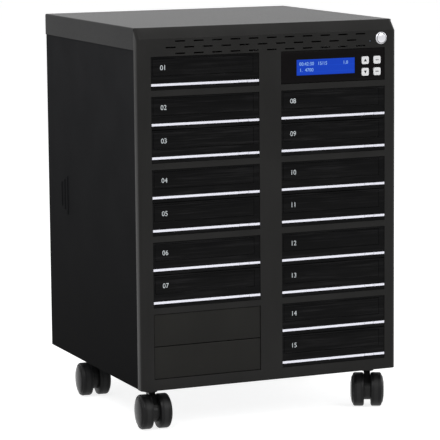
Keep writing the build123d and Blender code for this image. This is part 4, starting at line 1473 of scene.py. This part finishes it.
    def screw(self) -> Solid:
        """One pan head with a cross recess, which faces the rear.

        Returns:
            The head, on its own origin.
        """
        solid, sides = Solid(), self.screw_sides
        made = []
        for arm, between, level in self.SCREW_RINGS:
            ring = []
            for k in range(sides):
                angle = 2 * math.pi * k / sides
                radius = (arm if k % 4 == 0 else between) * self.screw_radius
                spot = (radius * math.cos(angle), level * self.screw_height, -radius * math.sin(angle))
                ring.append(solid.bm.verts.new(spot))
            made.append(ring)
        for lower, upper in zip(made, made[1:]):
            for k in range(sides):
                after = (k + 1) % sides
                solid.bm.faces.new((lower[k], lower[after], upper[after], upper[k]))
        solid.bm.faces.new(list(reversed(made[0])))
        solid.bm.faces.new(made[-1])
        return solid

    def screws(self) -> None:
        """Sets the screws of the fan and of the rear panel."""
        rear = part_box("rear_panel")[1].y
        fan, reach = middle_of("fan_rotor"), self.fan_screws
        points = [Vector((fan.x + a * reach, rear, fan.z + b * reach)) for a in (-1, 1) for b in (-1, 1)]
        for across, up in (self.SIDE_SCREWS, self.TOP_SCREWS):
            points += [Vector((x * MM, rear, z * MM)) for x in across for z in up]
        coat = self.finishes.of("screw_steel")
        tree = Scatter("screws_on_points")
        tree.make("rear_screws", points, self.screw(), coat, "cabinet", self.screw_turn)

    def build(self) -> None:
        """Makes rotor, pins and screws."""
        self.rotor()
        self.inlet_pins()
        self.screws()


# ---------------------------------------------------------------- studio
@dataclass
class PhotoCamera:
    """The photograph's viewpoint, held by its direction, its distance and the point it looks at."""

    azimuth: float = math.radians(-23.140)
    drop: float = math.radians(8.361)
    roll: float = math.radians(-0.502)
    lens: float = 201.17
    sensor: float = 36.0
    distance: float = 3332.4 * MM
    nearest: float = 0.1
    farthest: float = 100.0
    aim: Vector = field(default_factory=lambda: Vector((0.61, -2.96, 241.62)) * MM)

    def build(self) -> None:
        """Makes the camera and gives it to the scene."""
        data = bpy.data.cameras.new("photo_camera")
        data.lens, data.sensor_width = self.lens, self.sensor
        data.clip_start, data.clip_end = self.nearest, self.farthest
        camera = put("photo_camera", data)
        turn = (
            Matrix.Rotation(self.azimuth, 3, "Z")
            @ Matrix.Rotation(math.pi / 2 - self.drop, 3, "X")
            @ Matrix.Rotation(self.roll, 3, "Z")
        )
        place = self.aim + turn @ Vector((0, 0, self.distance))
        camera.matrix_world = Matrix.Translation(place) @ turn.to_4x4()
        bpy.context.scene.camera = camera


@dataclass(frozen=True)
class SoftLamp:
    """One soft square lamp: its name, its place, its edge in metres and its power in watts."""

    name: str
    place: Triple
    edge: float
    power: float

    def hang(self, target: Vector) -> None:
        """Hangs the lamp.

        Args:
            target: the point it faces.
        """
        data = bpy.data.lights.new(self.name, "AREA")
        data.size, data.energy = self.edge, self.power
        lamp = put(self.name, data)
        lamp.location = self.place
        lamp.rotation_mode = "QUATERNION"
        lamp.rotation_quaternion = (target - Vector(self.place)).to_track_quat("-Z", "Y")


@dataclass
class Studio:
    """White floor, pale surroundings and soft lamps."""

    floor_half: float = 30.0
    paper: Colour = (0.50, 0.50, 0.50)
    surround: float = 0.36
    floor_glow: float = 0.80
    lamp_aim: Triple = (0.0, 0.0, 0.26)

    LAMPS: ClassVar[tuple[SoftLamp, ...]] = (
        SoftLamp("key_lamp", (-1.05, -0.95, 1.55), edge=0.8, power=16.0),
        SoftLamp("fill_lamp", (1.1, -2.7, 2.2), edge=1.4, power=34.0),
        SoftLamp("top_lamp", (0.0, 0.6, 2.6), edge=1.6, power=18.0),
        SoftLamp("side_lamp", (2.8, -0.3, 1.3), edge=1.4, power=20.0),
        SoftLamp("rear_lamp", (2.4, 1.7, 2.0), edge=1.4, power=9.0),
    )

    def seen(self, tree: bpy.types.NodeTree) -> Socket:
        """A factor that is 1 where the camera, a reflection or clear plastic shows the surroundings.

        Args:
            tree: the material's or world's tree.

        Returns:
            The factor.
        """
        path = tree.nodes.new("ShaderNodeLightPath")
        value = path.outputs["Is Camera Ray"]
        for ray in ("Is Glossy Ray", "Is Transmission Ray"):
            either = tree.nodes.new("ShaderNodeMath")
            either.operation = "MAXIMUM"
            tree.links.new(value, either.inputs[0])
            tree.links.new(path.outputs[ray], either.inputs[1])
            value = either.outputs["Value"]
        return value

    def floor(self) -> None:
        """Lays the floor: white to the camera, with the object's soft shadow."""
        half = self.floor_half
        corners = [(-half, -half, 0), (half, -half, 0), (half, half, 0), (-half, half, 0)]
        mesh = bpy.data.meshes.new("studio_floor")
        mesh.from_pydata(corners, [], [(0, 1, 2, 3)])
        graph = Graph("studio_floor_paper")
        graph.constants(base_color=self.paper, roughness=0.9, ior_level=0.05)
        glow = graph.between(self.seen(graph.tree), 0.0, self.floor_glow)
        graph.link(glow, graph.shader.inputs["Emission Strength"])
        graph.constants(emission_color=(1.0, 1.0, 1.0))
        mesh.materials.append(graph.material)
        floor = put("studio_floor", mesh)

    def world(self) -> None:
        """Surroundings: an even grey light, seen as white by the camera and in reflections."""
        world = bpy.data.worlds.new("studio_world")
        world.use_nodes = True
        tree = world.node_tree
        tree.nodes.clear()
        shade = tree.nodes.new("ShaderNodeBackground")
        shade.inputs["Color"].default_value = (1, 1, 1, 1)
        level = tree.nodes.new("ShaderNodeMapRange")
        level.inputs["To Min"].default_value = self.surround
        level.inputs["To Max"].default_value = 1.0
        tree.links.new(self.seen(tree), level.inputs["Value"])
        tree.links.new(level.outputs["Result"], shade.inputs["Strength"])
        output = tree.nodes.new("ShaderNodeOutputWorld")
        tree.links.new(shade.outputs["Background"], output.inputs["Surface"])
        bpy.context.scene.world = world

    def build(self) -> None:
        """Makes floor, surroundings and lamps."""
        bpy.context.scene.view_settings.view_transform = "Standard"
        self.floor()
        self.world()
        for lamp in self.LAMPS:
            lamp.hang(Vector(self.lamp_aim))


def main() -> None:
    """Builds and dresses the whole tower."""
    logging.basicConfig(level=logging.INFO, format="%(message)s")
    PhotoCamera().build()
    finishes = Finishes()
    PackedNodes(finishes).dress()
    for assembly in (RoundedShells, DiscTrays, DriveMarks, ControlPanel, Casters, RearFittings):
        assembly(finishes).build()
    Studio().build()


if __name__ == "__main__":
    main()
